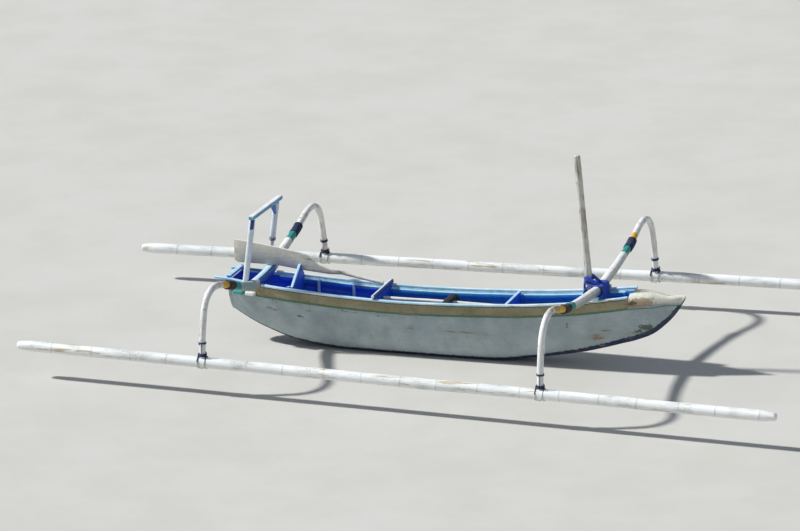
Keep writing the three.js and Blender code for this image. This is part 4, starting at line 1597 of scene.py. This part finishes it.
@dataclass
class RopeWork:
    """Turns of laid rope, drawn strand by strand."""

    thick: float = 0.0105
    around: int = 10
    step: float = 0.0065
    lay: float = 3.4  # length of one twist of the strands, in rope thicknesses
    spread: float = 1.02  # distance between turns, in rope thicknesses
    depth: float = 0.16  # how deep the grooves between the three strands are

    def lay_rope(self, shape: Shape, line: np.ndarray, loop: bool = False, tint: float = 0.0) -> None:
        """Adds one rope.

        Args:
            shape: the shape that it goes into.
            line: points of its centreline, in metres.
            loop: whether it closes on itself.
            tint: the share of its second colour.
        """
        length = float(np.linalg.norm(np.diff(line, axis=0), axis=1).sum())
        count = max(int(length / self.step), 8)
        line = even(line, count + 1)[:-1] if loop else even(line, count)
        first, second, _ = sides_of(line, None)
        angle = np.linspace(0, 2 * math.pi, self.around, endpoint=False)
        if loop:  # the carried directions have to meet themselves where the loop closes
            back = line[0] - line[-1]
            back /= np.linalg.norm(back)
            over, along = first[0] @ np.cross(back, first[-1]), first[0] @ first[-1]
            gap = math.atan2(float(over), float(along))
            shift = gap * np.linspace(0, 1, len(line))[:, None]
        else:
            shift = np.zeros((len(line), 1))
        twists = round(length / (self.lay * self.thick))
        turns = twists * 2 * math.pi / len(line) * np.arange(len(line))[:, None]
        swell = np.cos(3 * (angle[None] - turns))
        radius = self.thick / 2 * (1 - self.depth * (0.5 - 0.5 * swell))
        c, s = np.cos(angle[None] + shift), np.sin(angle[None] + shift)
        across, beside = (radius * c)[..., None] * first[:, None], (radius * s)[..., None] * second[:, None]
        rings = line[:, None] + across + beside
        shape.loft(rings, loop, groove=0.5 - 0.5 * swell, tint=np.full(swell.shape, tint))

    def wind(
        self,
        shape: Shape,
        line: np.ndarray,
        side: Sequence[float],
        core: float,
        seed: int = 1,
        tint: float = 0.0,
    ) -> None:
        """Adds close turns round a timber.

        Args:
            shape: the shape that they go into.
            line: the timber's centreline where they lie.
            side: a direction across it.
            core: the timber's radius there.
            seed: the seed of their unevenness.
            tint: the share of the rope's second colour.
        """
        length = float(np.linalg.norm(np.diff(line, axis=0), axis=1).sum())
        turns = length / (self.spread * self.thick)
        count = max(int(turns * 44), 30)
        fine = even(line, count)
        first, second, ahead = sides_of(fine, side)
        angle = np.linspace(0, 2 * math.pi * turns, count)
        reach = core + self.thick / 2 + 0.0006 * ripple(angle, seed, 9.0)
        drift = 0.0012 * ripple(angle, seed + 1, 14.0)
        self.lay_rope(
            shape,
            fine
            + first * (reach * np.cos(angle))[:, None]
            + second * (reach * np.sin(angle))[:, None]
            + ahead * drift[:, None],
            tint=tint,
        )


@dataclass
class Outrigger:
    """The booms, their elbows and lashings, and the bamboo floats."""

    elbow_thick: Pair = (70, 64)
    lash_core: float = 0.038
    lash_reach: float = 0.086
    foot_core: float = 0.0325
    collar: Pair = (100, 62)  # distances above the float's middle
    ring: Pair = (213, 188)
    float_turns: tuple[float, ...] = (-41, 41)
    turn_wide: float = 27
    culm_step: float = 0.41
    painted_half: float = 0.235  # the rear boom is blue between the rails, with a pale top of paint and painted highlight

    def boom_paint(self, lines: BoomLines) -> PaintedTimber:
        """Chooses the paint of a boom, with its teal bands next to the lashings and painted shade on its
        sides.

        Args:
            lines: the boom's lines.

        Returns:
            The finish.
        """
        joint = lines.path[-1][0] * MM
        bands = [
            # grey on the sides and underside below the top: painted shade
            Band("down", 0.034, 0.5, "#a3a69c", 0.014, 0.012, 0.8),
            Band("off_centre", joint - 0.222, joint - 0.02, "#1f8f86", 0.004, 0.012),
        ]
        if lines is REAR:
            bands += [
                # blue-grey on the starboard block outside the rail: the white paint as painted shade
                Band("y", -0.69, -0.30, "#94aaa6", 0.05, 0.03, 0.85),
                # between the rails: blue sides, and a pale top that is pale paint and painted highlight
                Band("mid", 0.5, 1.5, "#2f62a8", 0.1, 0.0),
                Band("mid", 1.5, 3.0, "#c4e8f2", 0.1, 0.0),
            ]
        return PaintedTimber(
            f"oil_paint_white_on_{lines.name}_boom", "#e6e7e2", "#f3f3ee", "#a28c68", "#7d7f70",
            Axis.ACROSS, 0.48, 0.15, 0.36, 9.0, 0.001, tuple(bands),
        )

    def elbow_paint(self, lines: BoomLines) -> PaintedTimber:
        """Chooses the paint of a pair of elbows, with their yellow bands next to the lashings.

        Args:
            lines: the boom's lines.

        Returns:
            The finish.
        """
        joint = lines.path[-1][0] * MM
        start, end = joint + 0.01, joint + (0.40 if lines is FRONT else 0.245)
        bands = [Band("y", -end, -start, "#e3b022", 0.004, 0.012)]
        if lines is FRONT:
            bands.append(Band("y", start, joint + 0.175, "#e3b022", 0.004, 0.012))
        return PaintedTimber(
            f"oil_paint_white_on_{lines.name}_elbows", "#e3e3e0", "#f5f5f0", "#9a8770", "#86806f",
            Axis.UPRIGHT, 0.48, 0.24, 0.60, 12.0, 0.001, tuple(bands),
        )

    def boom_rings(self, lines: BoomLines) -> np.ndarray:
        """Draws a boom, thick amidships and hewn by hand.

        Args:
            lines: the boom's lines.

        Returns:
            The rings in metres.
        """
        line = lines.boom(150)
        t = np.linspace(0, 1, len(line))
        swell = np.cos((t - 0.5) * math.pi) ** 1.2
        hewn = 0.020 * ripple(t, 51, 0.31)
        wide = (lines.wide[1] + (lines.wide[0] - lines.wide[1]) * swell) / 2 * (1 + hewn)
        deep = (lines.deep[1] + (lines.deep[0] - lines.deep[1]) * swell) / 2 * (1 - hewn)
        return swept(line, oval(28, 2.6) * MM, (1, 0, 0), np.stack([wide, deep], axis=1), 0.004)

    def elbow_rings(self, lines: BoomLines, seed: int) -> np.ndarray:
        """Draws the port elbow, a naturally bent branch.

        Args:
            lines: the boom's lines.
            seed: the seed of its knots and unevenness.

        Returns:
            The rings in metres.
        """
        line = lines.bend(190)
        line = line[line[:, 2] > (FLOAT_Z + FLOAT_RADIUS - 9) * MM]
        t = np.linspace(0, 1, len(line))
        thick = (self.elbow_thick[0] + (self.elbow_thick[1] - self.elbow_thick[0]) * t) / 2
        grown = 1 + 0.030 * ripple(t, seed, 0.45)
        for k in range(3):
            at = np.random.default_rng(seed + k).uniform(0.15, 0.85)
            grown = grown + 0.05 * np.exp(-(((t - at) / 0.022) ** 2))
        flat = 1 + 0.03 * ripple(t, seed + 7, 0.7)
        size = np.stack([thick * grown * flat, thick * grown / flat], axis=1)
        return swept(line, oval(24) * MM, (1, 0, 0), size, 0.004)

    def float_rings(self, seed: int) -> tuple[np.ndarray, np.ndarray]:
        """Draws the port float, one bamboo culm with a ring at each node.

        Args:
            seed: the seed of its nodes and of its slight bends.

        Returns:
            The rings, and a mark that is 1 at a node.
        """
        rng = np.random.default_rng(seed)
        start, end = FLOAT_ENDS
        length = (end - start) * MM
        nodes = np.cumsum(rng.uniform(0.9, 1.1, 24) * self.culm_step)
        nodes = nodes[nodes < length - 0.12]
        s = np.linspace(0, length, 560)
        beside = np.array([0.002, 0.006, 0.012, 0.03])
        near = np.concatenate([n + side * beside for n in nodes for side in (-1, 1)])
        s = np.unique(np.concatenate([s, near]))
        x = start + s / MM
        line = placed(np.stack([x, float_y(x), np.full(len(x), FLOAT_Z)], axis=1))
        bow = np.sin(np.pi * s / length)
        line[:, 1] += 0.006 * ripple(s, seed + 2, 5.5) * bow
        line[:, 2] += 0.005 * ripple(s, seed + 3, 4.5) * bow
        away = np.min(np.abs(s[:, None] - nodes[None]), axis=1)
        ring = np.exp(-((away / 0.0065) ** 2))
        body = 1 - 0.012 * np.cos(np.pi * np.clip(away / (self.culm_step / 2), 0, 1))
        ends = np.minimum(s, length - s)
        taper = 0.66 + 0.34 * np.clip(ends / 0.16, 0, 1) ** 0.7
        size = (body + 0.022 * ring) * taper * FLOAT_RADIUS
        rings = swept(line, oval(26) * MM, (0, 0, 1), size, 0.012)
        mark = np.concatenate([np.zeros(4), ring, np.zeros(4)])
        return rings, np.repeat(mark[:, None], 26, axis=1)

    def foot_ropes(self, lines: BoomLines, rope: RopeWork, shape: Shape, seed: int) -> None:
        """Adds the ropes that hold the port foot of an elbow to its float.

        Args:
            lines: the lines of its boom.
            rope: the rope.
            shape: the shape that they go into.
            seed: the seed of their unevenness.
        """
        bend = lines.bend(400)
        left = np.linalg.norm(np.diff(bend, axis=0), axis=1)[::-1].cumsum()[::-1] / MM
        left = np.append(left, 0.0)
        for far, near in (self.ring, self.collar):
            rope.wind(shape, bend[(left <= far) & (left >= near)], (1, 0, 0), self.foot_core, seed=seed)
        for at in self.float_turns:
            x = lines.x + at + np.array([-0.5, 0.0, 0.5]) * (self.turn_wide - 12)
            line = placed(np.stack([x, float_y(x), np.full(3, FLOAT_Z)], axis=1))
            rope.wind(shape, even(line, 8), (0, 0, 1), FLOAT_RADIUS * MM, seed=seed + 3)
        y = lines.foot
        reach = FLOAT_RADIUS + rope.thick / MM / 2 + 1
        leg = self.foot_core / MM + rope.thick / MM / 2 + 2
        for turn in (1, -1):
            half = [
                (leg * 0.75, leg * 0.75 * turn, 104),
                (leg + 3, turn * 12, 86),
                (41, -turn * reach * 0.62, reach * 0.80),
                (34, -turn * reach * 1.02, reach * 0.10),
                (20, -turn * reach * 0.70, -reach * 0.78),
            ]
            points = [*half, (0, 0, -reach * 1.03), *((-px, -py, pz) for px, py, pz in half[::-1])]
            path = [(lines.x + px, y + py, FLOAT_Z + pz) for px, py, pz in points]
            rope.lay_rope(shape, placed(curve_through(path, 90)))
        line = [(lines.x + 9, y + leg - across, FLOAT_Z + z) for across, z in ((9, 200), (4, 150), (1, 100))]
        rope.lay_rope(shape, placed(curve_through(line, 40)))
        aft = [points[:, 0] < (lines.x + ORIGIN_X_MM) * MM for points in shape.points]
        shape.layers["tint"] = [  # the float's paint covers them lower down
            np.clip(((FLOAT_Z + np.where(behind, 22, 50)) * MM - points[:, 2]) / 0.008, 0, 0.95)
            for points, behind in zip(shape.points, aft)
        ]

    def build(self) -> None:
        """Makes the outrigger's pieces on both sides."""
        # the starboard joint ropes are the navy rope darkened to brown as painted shade
        ropes = {"port": NAVY_ROPE.build(), "starboard": SHADED_NAVY_ROPE.build()}
        bamboo = BAMBOO.build()
        rope, thin = RopeWork(), RopeWork(thick=0.0085, around=8, step=0.007)
        for lines, seed in ((REAR, 61), (FRONT, 71)):
            rings = self.boom_rings(lines)
            raised = (below_top(rings) < 0.007) + 1.0  # 1 on the sides, 2 on the top, where the rear boom gets its painted highlight
            mid = np.where(np.abs(rings[..., 1]) < self.painted_half, raised, 0.0)
            timber = Shape().loft(rings, mid=mid, down=below_top(rings))
            paint, label = self.boom_paint(lines).build(), lines.name
            timber.piece(f"{label}_boom_timber", paint, "timber_white", f"{label}_boom")
            paint = self.elbow_paint(lines).build()
            boom, bend = lines.boom(1200), lines.bend(800)
            past_joint = np.linalg.norm(bend - bend[0], axis=1)
            for (name, side), arm, offset in zip(SIDES, (boom, boom[::-1]), (0, 5)):
                branch = Shape().loft(self.elbow_rings(lines, seed + offset) * side)
                branch.piece(f"{label}_elbow_branch_{name}", paint, "timber_white", f"{label}_elbow_{name}")
                near = np.linalg.norm(arm - arm[-1], axis=1) < self.lash_reach
                line = np.concatenate([arm[near], (bend * side)[past_joint < self.lash_reach]])
                turns, foot = Shape(), Shape()
                rope.wind(turns, even(line, 60), (1, 0, 0), self.lash_core, seed=seed + offset)
                joint = f"{label}_elbow_lashing_{name}"
                turns.piece(f"{label}_joint_rope_{name}", ropes[name], "navy_rope", joint)
                self.foot_ropes(lines, thin, foot, seed + offset)
                if name == "starboard":
                    foot.flip()
                lashing = f"{label}_foot_lashing_{name}"
                foot.piece(f"{label}_foot_rope_{name}", ropes["port"], "navy_rope", lashing)
        for (name, side), seed in zip(SIDES, (81, 91)):
            rings, mark = self.float_rings(seed)
            culm = Shape().loft(rings * side, ring=mark)
            culm.piece(f"float_culm_{name}", bamboo, "float_white", f"float_{name}")


@dataclass
class Mast:
    """The mast, its step and partner, and the ropes that hold it to the front boom."""

    foot: float = 238
    top: float = 2200
    x: float = 1728
    level: float = 860
    rake: float = 0.069
    radius: Pair = (38, 34)
    head: float = 34
    partner: Pair = (1690, 1872)
    partner_z: Pair = (590, 620)
    step: Triple = (95, 62, 300)  # half-length, half-breadth, top
    sheaf: Pair = (1676, 1900)
    sheaf_sides: Pair = (-74, 126)

    def mast_x(self, z: Places) -> Places:
        """Returns the mast's place along X at a height."""
        return self.x - (z - self.level) * self.rake

    def build_mast(self) -> None:
        """Makes the mast, a stripped trunk with a rounded head."""
        z = np.linspace(self.foot, self.top, 220)
        line = placed(np.stack([self.mast_x(z), np.zeros(len(z)), z], axis=1))
        t = np.linspace(0, 1, len(z))
        size = self.radius[0] + (self.radius[1] - self.radius[0]) * t
        size = size * (1 + 0.022 * ripple(t, 101, 0.4))
        for at in (0.30, 0.52, 0.71, 0.86, 0.93):
            size = size * (1 + 0.05 * np.exp(-(((t - at) / 0.008) ** 2)))
        rings = swept(line, oval(28) * MM, (0, 1, 0), size, 0.022)
        Shape().loft(rings).piece("mast_trunk", MAST_WOOD.build(), "mast_grey", "mast")

    def build_bearings(self) -> None:
        """Makes the partner beam and the step."""
        half = HULL.breadth(self.partner[1], self.partner_z[0]) - 22
        x, z = sum(self.partner) / 2, sum(self.partner_z) / 2
        wide, deep = (b - a for a, b in (self.partner, self.partner_z))
        rings = beam(((x, -half, z), (x, half, z)), (wide, deep, 6), 3, 24)
        partner = Shape().loft(rings, down=below_top(rings))
        partner.piece("mast_partner_beam", CROSS_BLUE.build(), "inside_blue", "mast_partner")
        at = self.mast_x(self.foot)
        rings = []
        for x in np.linspace(at - self.step[0], at + self.step[0], 8):
            floor = HULL.keel(x) + 43
            flat = HULL.value(x, 4)
            middle, deep = (floor + self.step[2]) / 2, self.step[2] - floor
            outline = boxed(2 * min(self.step[1], flat + 14), deep, 7, 3)
            rings.append(section_at(x, outline + np.array([0.0, middle])))
        Shape().loft(np.array(rings)).piece("mast_step_block", SAWN_WOOD.build(), "bare_wood", "mast_step")

    def crossings(self, turn: float, shift: float) -> np.ndarray:
        """Draws one diagonal turn round the mast and the boom.

        Args:
            turn: 1 or -1, the way that it leans.
            shift: how far it lies beside the first turn, in millimetres.

        Returns:
            Points of its centreline, in metres.
        """
        boom_z, fore = FRONT.middle, FRONT.x + FRONT.wide[0] / 2 + 7
        aft = self.x - self.radius[0] - 7
        reach = self.radius[0] + 8
        points = [
            (aft + 30, reach * turn, boom_z + 128 + shift),
            (aft - 2, 4 * turn, boom_z + 70 + shift),
            (aft + 4, -reach * turn * 0.8, boom_z - 28 + shift),
            (aft + 40, -reach * turn * 1.12, boom_z - 72 + shift * 0.6),
            (fore - 48, -reach * turn * 1.1, boom_z - 66 + shift * 0.3),
            (fore - 8, -reach * turn, boom_z - 38 + shift * 0.4),
            (fore + 2, -reach * turn * 0.2 + shift * 0.5, boom_z),
            (fore - 6, reach * turn * 0.8 + shift * 0.4, boom_z + 38),
            (fore - 50, reach * turn * 1.1, boom_z + 72 + shift * 0.5),
            (aft + 66, reach * turn * 1.18, boom_z + 122 + shift),
        ]
        return placed(curve_through(points, 220, loop=True))

    def build_ropes(self) -> None:
        """Makes the collar on the mast, the diagonal turns and the sheaf down to the partner."""
        rope = RopeWork(thick=0.0125, around=10, step=0.008)
        shape = Shape()
        z = np.array([868.0, 930.0])
        collar = placed(np.stack([self.mast_x(z), np.zeros(2), z], axis=1))
        rope.wind(shape, even(collar, 20), (0, 1, 0), self.radius[0] * MM, seed=111, tint=0.8)
        for turn in (1.0, -1.0):
            for shift in (-26.0, -13.0, 0.0, 13.0):
                rope.lay_rope(shape, self.crossings(turn, shift)[:-1], loop=True)
        low, high = self.partner_z[0] - 7, FRONT.middle + FRONT.deep[0] / 2 + 7
        x0, x1 = self.sheaf
        for k, y in enumerate(np.arange(*self.sheaf_sides, 12.4)):
            lean = 5 * float(ripple(k, 121, 6.0))
            mast_gap = abs(y) < self.radius[0] + 4
            aft = self.mast_x(700) - self.radius[0] - 8 if mast_gap else x0 + 14
            top = high if not mast_gap else high + 1
            points = [
                (x1 - 10, y, low + 4), (x1 - 2, y + lean, (low + high) / 2), (x1 - 12, y, top - 8),
                (FRONT.x, y - lean, top), (x0 + 60, y, top - 14), (aft + 2, y + lean, high - 70),
                (aft, y, (low + high) / 2), (aft + 6, y - lean, low + 12), (aft + 30, y, low),
                (FRONT.x, y, low),
            ]
            tint = 0.7 if k % 3 == 1 else 0.0
            rope.lay_rope(shape, placed(curve_through(points, 200, loop=True))[:-1], loop=True, tint=tint)
        shape.piece("mast_ropes", BRIGHT_ROPE.build(), "bright_rope", "mast_lashing")

    def build(self) -> None:
        """Makes the mast's pieces."""
        self.build_mast()
        self.build_bearings()
        self.build_ropes()


@dataclass
class SternGear:
    """The crutch over the stern and the rudder that is stowed beside it."""

    low: float = 705
    height: float = 1418
    foot_x: float = -1860
    head_x: float = -1746
    thick: float = 60
    posts: tuple[tuple[str, float, float], ...] = (("port", 352, 1380), ("starboard", -345, 1398))
    bar_ends: Pair = (-385, 451)
    bar_tops: Pair = (1449, 1428)
    bar: Pair = (54, 42)  # width, depth
    brace: Triple = (96, 120, 26)  # reach, drop, thickness
    blade_y: float = 165
    blade_thick: float = 30
    blade: tuple[Pair, ...] = (
        (-2166, 1012), (-1950, 992), (-1668, 953), (-1450, 917), (-1352, 886), (-1306, 838), (-1223, 788),
        (-1120, 756), (-1000, 744), (-1000, 710), (-1130, 706), (-1420, 730), (-1716, 766), (-2130, 766),
        (-2168, 790),
    )
    stock: tuple[Pair, ...] = ((-993, 728), (-860, 705), (-722, 681), (-540, 652))
    stock_radius: float = 19

    def post_x(self, z: Places) -> Places:
        """Returns a post's place along X at a height."""
        return self.foot_x + (self.head_x - self.foot_x) * (z - self.low) / (self.height - self.low)

    def build_crutch(self) -> None:
        """Makes the posts, the bar and its brace, with the rope that binds the far post."""
        paint = POST_PAINT.build()
        for name, y, top in self.posts:
            z = np.linspace(self.low, top, 90)
            line = placed(np.stack([self.post_x(z), np.full(len(z), y), z], axis=1))
            t = np.linspace(0, 1, len(z))
            size = self.thick / 2 * (1 + 0.035 * ripple(t, 131 + int(abs(y)), 0.6))
            if name == "port":
                size = size * (0.74 + 0.26 / (1 + np.exp(-(z - 985) / 12)))
            rings = swept(line, oval(24, 2.3) * MM, (0, 1, 0), size, 0.004)
            away = rings[..., :2] - rings[..., :2].mean(axis=1, keepdims=True)
            away /= np.linalg.norm(away, axis=2, keepdims=True)
            # dark blue stripe of painted shadow on the starboard post's upper end, on its side toward the
            # camera
            shaded_side = (away @ np.array([0.39, -0.92]) > 0.8) & (rings[..., 2] > (top - 95) * MM) & (y < 0)
            post = Shape().loft(rings, stripe=shaded_side.astype(float))
            post.piece(f"crutch_post_pole_{name}", paint, "timber_white", f"crutch_post_{name}")
        z = np.array([968.0, 1004.0])
        binding = placed(np.stack([self.post_x(z), np.full(2, self.posts[0][1]), z], axis=1))
        shape = Shape()
        RopeWork(thick=0.008, around=8).wind(shape, even(binding, 12), (0, 1, 0), 0.028, seed=141)
        shape.piece("crutch_post_binding", GREY_ROPE.build(), "navy_rope")
        x = self.post_x(self.height)
        y = np.linspace(*self.bar_ends, 40)
        tops = np.interp(y, self.bar_ends, self.bar_tops)
        line = placed(np.stack([np.full(len(y), x), y, tops - self.bar[1] / 2], axis=1))
        outline = boxed(self.bar[0] * MM, self.bar[1] * MM, 0.006)
        rings = swept(line, outline, (1, 0, 0), 1 + 0.015 * ripple(y, 143, 300), ease=0.004)
        upper = rings[..., 2] - rings[..., 2].mean(axis=1, keepdims=True)
        crutch_paint = CRUTCH_PAINT.build()
        bar = Shape().loft(rings, top=np.where(upper > 0.016, 1.0, 0.0))
        bar.piece("crutch_bar", crutch_paint, "crutch_blue", "crutch_crossbar")
        _, y0, top = self.posts[0]
        inner, (reach, drop, thick) = y0 - self.thick / 2 - 1, self.brace
        outline = np.array([[inner, top - 1], [inner - reach, top - 1], [inner, top - drop]]) * MM
        block = Shape().slab(outline, Axis.ALONG, *faces_at(self.post_x(top - drop / 2), thick), 0.003)
        block.layers["top"] = [np.full(block.count, -1.0)]
        block.piece("crutch_brace_block", crutch_paint, "crutch_blue", "crutch_brace")

    def build_rudder(self) -> None:
        """Makes the blade and the stock."""
        outline = (np.array(self.blade) + np.array([ORIGIN_X_MM, 0.0])) * MM
        fine = []
        for a, b in zip(outline, np.roll(outline, -1, axis=0)):
            steps = max(int(np.linalg.norm(b - a) / 0.06), 1)
            fine += [a + (b - a) * k / steps for k in range(steps)]
        low, high = ((self.blade_y + s * self.blade_thick / 2) * MM for s in (-1, 1))
        board = Shape().slab(np.array(fine), Axis.ACROSS, low, high, 0.006)
        # pale upper edges of the blade: painted highlight
        across = np.abs(board.points[0][:, 1] - self.blade_y * MM) < self.blade_thick / 2 * MM - 0.003
        board.layers["down"] = [np.where(across & (board.points[0][:, 2] > 0.775), 0.0, 1.0)]
        board.piece("rudder_board", BLADE_PAINT.build(), "timber_white", "rudder_blade")
        line = placed(curve_through([(x, self.blade_y, z) for x, z in self.stock], 60))
        size = 1 + 0.04 * ripple(np.linspace(0, 1, 60), 151, 0.5)
        rings = swept(line, oval(20) * self.stock_radius * MM, (0, 1, 0), size, 0.004)
        Shape().loft(rings).piece("rudder_stock_pole", STOCK_PAINT.build(), "timber_white", "rudder_stock")

    def build(self) -> None:
        """Makes the crutch and the rudder."""
        self.build_crutch()
        self.build_rudder()


# Stage


@dataclass(frozen=True)
class Studio:
    """The floor, the lights and the camera at the photograph's viewing angle."""

    roll: float = 2.284817  # in degrees, about the line from the target to the camera
    place: Triple = (17.770, -49.484, 17.651)
    target: Triple = (-0.5106, 0.0342, 0.8952)
    lens: float = 244.5
    floor_half: float = 60.0
    key_from: Triple = (-0.75, -0.09, 0.68)
    key_power: float = 4.3
    key_spread: float = 3.0
    fill_from: Triple = (0.55, -0.75, 0.55)
    fill_power: float = 0.1
    sky: str = "#cddcf2"
    sky_power: float = 0.36

    def build_floor(self) -> None:
        """Lays the floor."""
        half = self.floor_half
        mesh = bpy.data.meshes.new("studio_floor")
        corners = [(-half, -half, 0), (half, -half, 0), (half, half, 0), (-half, half, 0)]
        mesh.from_pydata(corners, [], [(0, 1, 2, 3)])
        mesh.materials.append(StudioFloor().build())
        floor = bpy.data.objects.new("studio_floor", mesh)
        bpy.context.scene.collection.objects.link(floor)

    def add_sun(self, name: str, source: Triple, power: float, spread: float) -> None:
        """Adds a broad, distant lamp.

        Args:
            name: its name.
            source: the direction that it shines from.
            power: its strength.
            spread: its width in degrees.
        """
        lamp = bpy.data.lights.new(name, "SUN")
        lamp.energy, lamp.angle = power, math.radians(spread)
        made = bpy.data.objects.new(name, lamp)
        made.rotation_mode = "QUATERNION"
        made.rotation_quaternion = Vector(source).to_track_quat("Z", "Y")
        bpy.context.scene.collection.objects.link(made)

    def build_lights(self) -> None:
        """Sets a key lamp high on the far left, a weak fill and an even sky."""
        self.add_sun("key_lamp", self.key_from, self.key_power, self.key_spread)
        self.add_sun("fill_lamp", self.fill_from, self.fill_power, 60.0)
        world = bpy.data.worlds.new("studio_sky")
        world.use_nodes = True
        background = world.node_tree.nodes["Background"]
        background.inputs["Color"].default_value = to_linear(self.sky)
        background.inputs["Strength"].default_value = self.sky_power
        bpy.context.scene.world = world

    def build_camera(self) -> None:
        """Sets the camera, rolled as the photograph is."""
        away = (Vector(self.place) - Vector(self.target)).normalized()
        level = Vector((-away.y, away.x, 0.0)).normalized()
        roll = math.radians(self.roll)
        side = (level * math.sin(roll) + away.cross(level) * math.cos(roll)).cross(away)
        lens = bpy.data.cameras.new("photo_camera")
        lens.lens, lens.sensor_width = self.lens, 36.0
        lens.clip_start, lens.clip_end = 1.0, 400.0
        camera = bpy.data.objects.new("photo_camera", lens)
        turned = Matrix((side, away.cross(side), away)).transposed()
        camera.matrix_world = Matrix.Translation(self.place) @ turned.to_4x4()
        bpy.context.scene.collection.objects.link(camera)
        bpy.context.scene.camera = camera

    def build(self) -> None:
        """Makes the stage."""
        bpy.context.scene.view_settings.view_transform = "Standard"
        self.build_floor()
        self.build_lights()
        self.build_camera()


def main() -> None:
    """Builds the canoe, the stage and the camera."""
    logging.basicConfig(level=logging.INFO, format="%(name)s: %(message)s")
    Dugout().build()
    Topsides().build(REAR.x)
    for part in (Inside(), Stern(), Outrigger(), Mast(), SternGear(), Studio()):
        part.build()


if __name__ == "__main__":
    main()
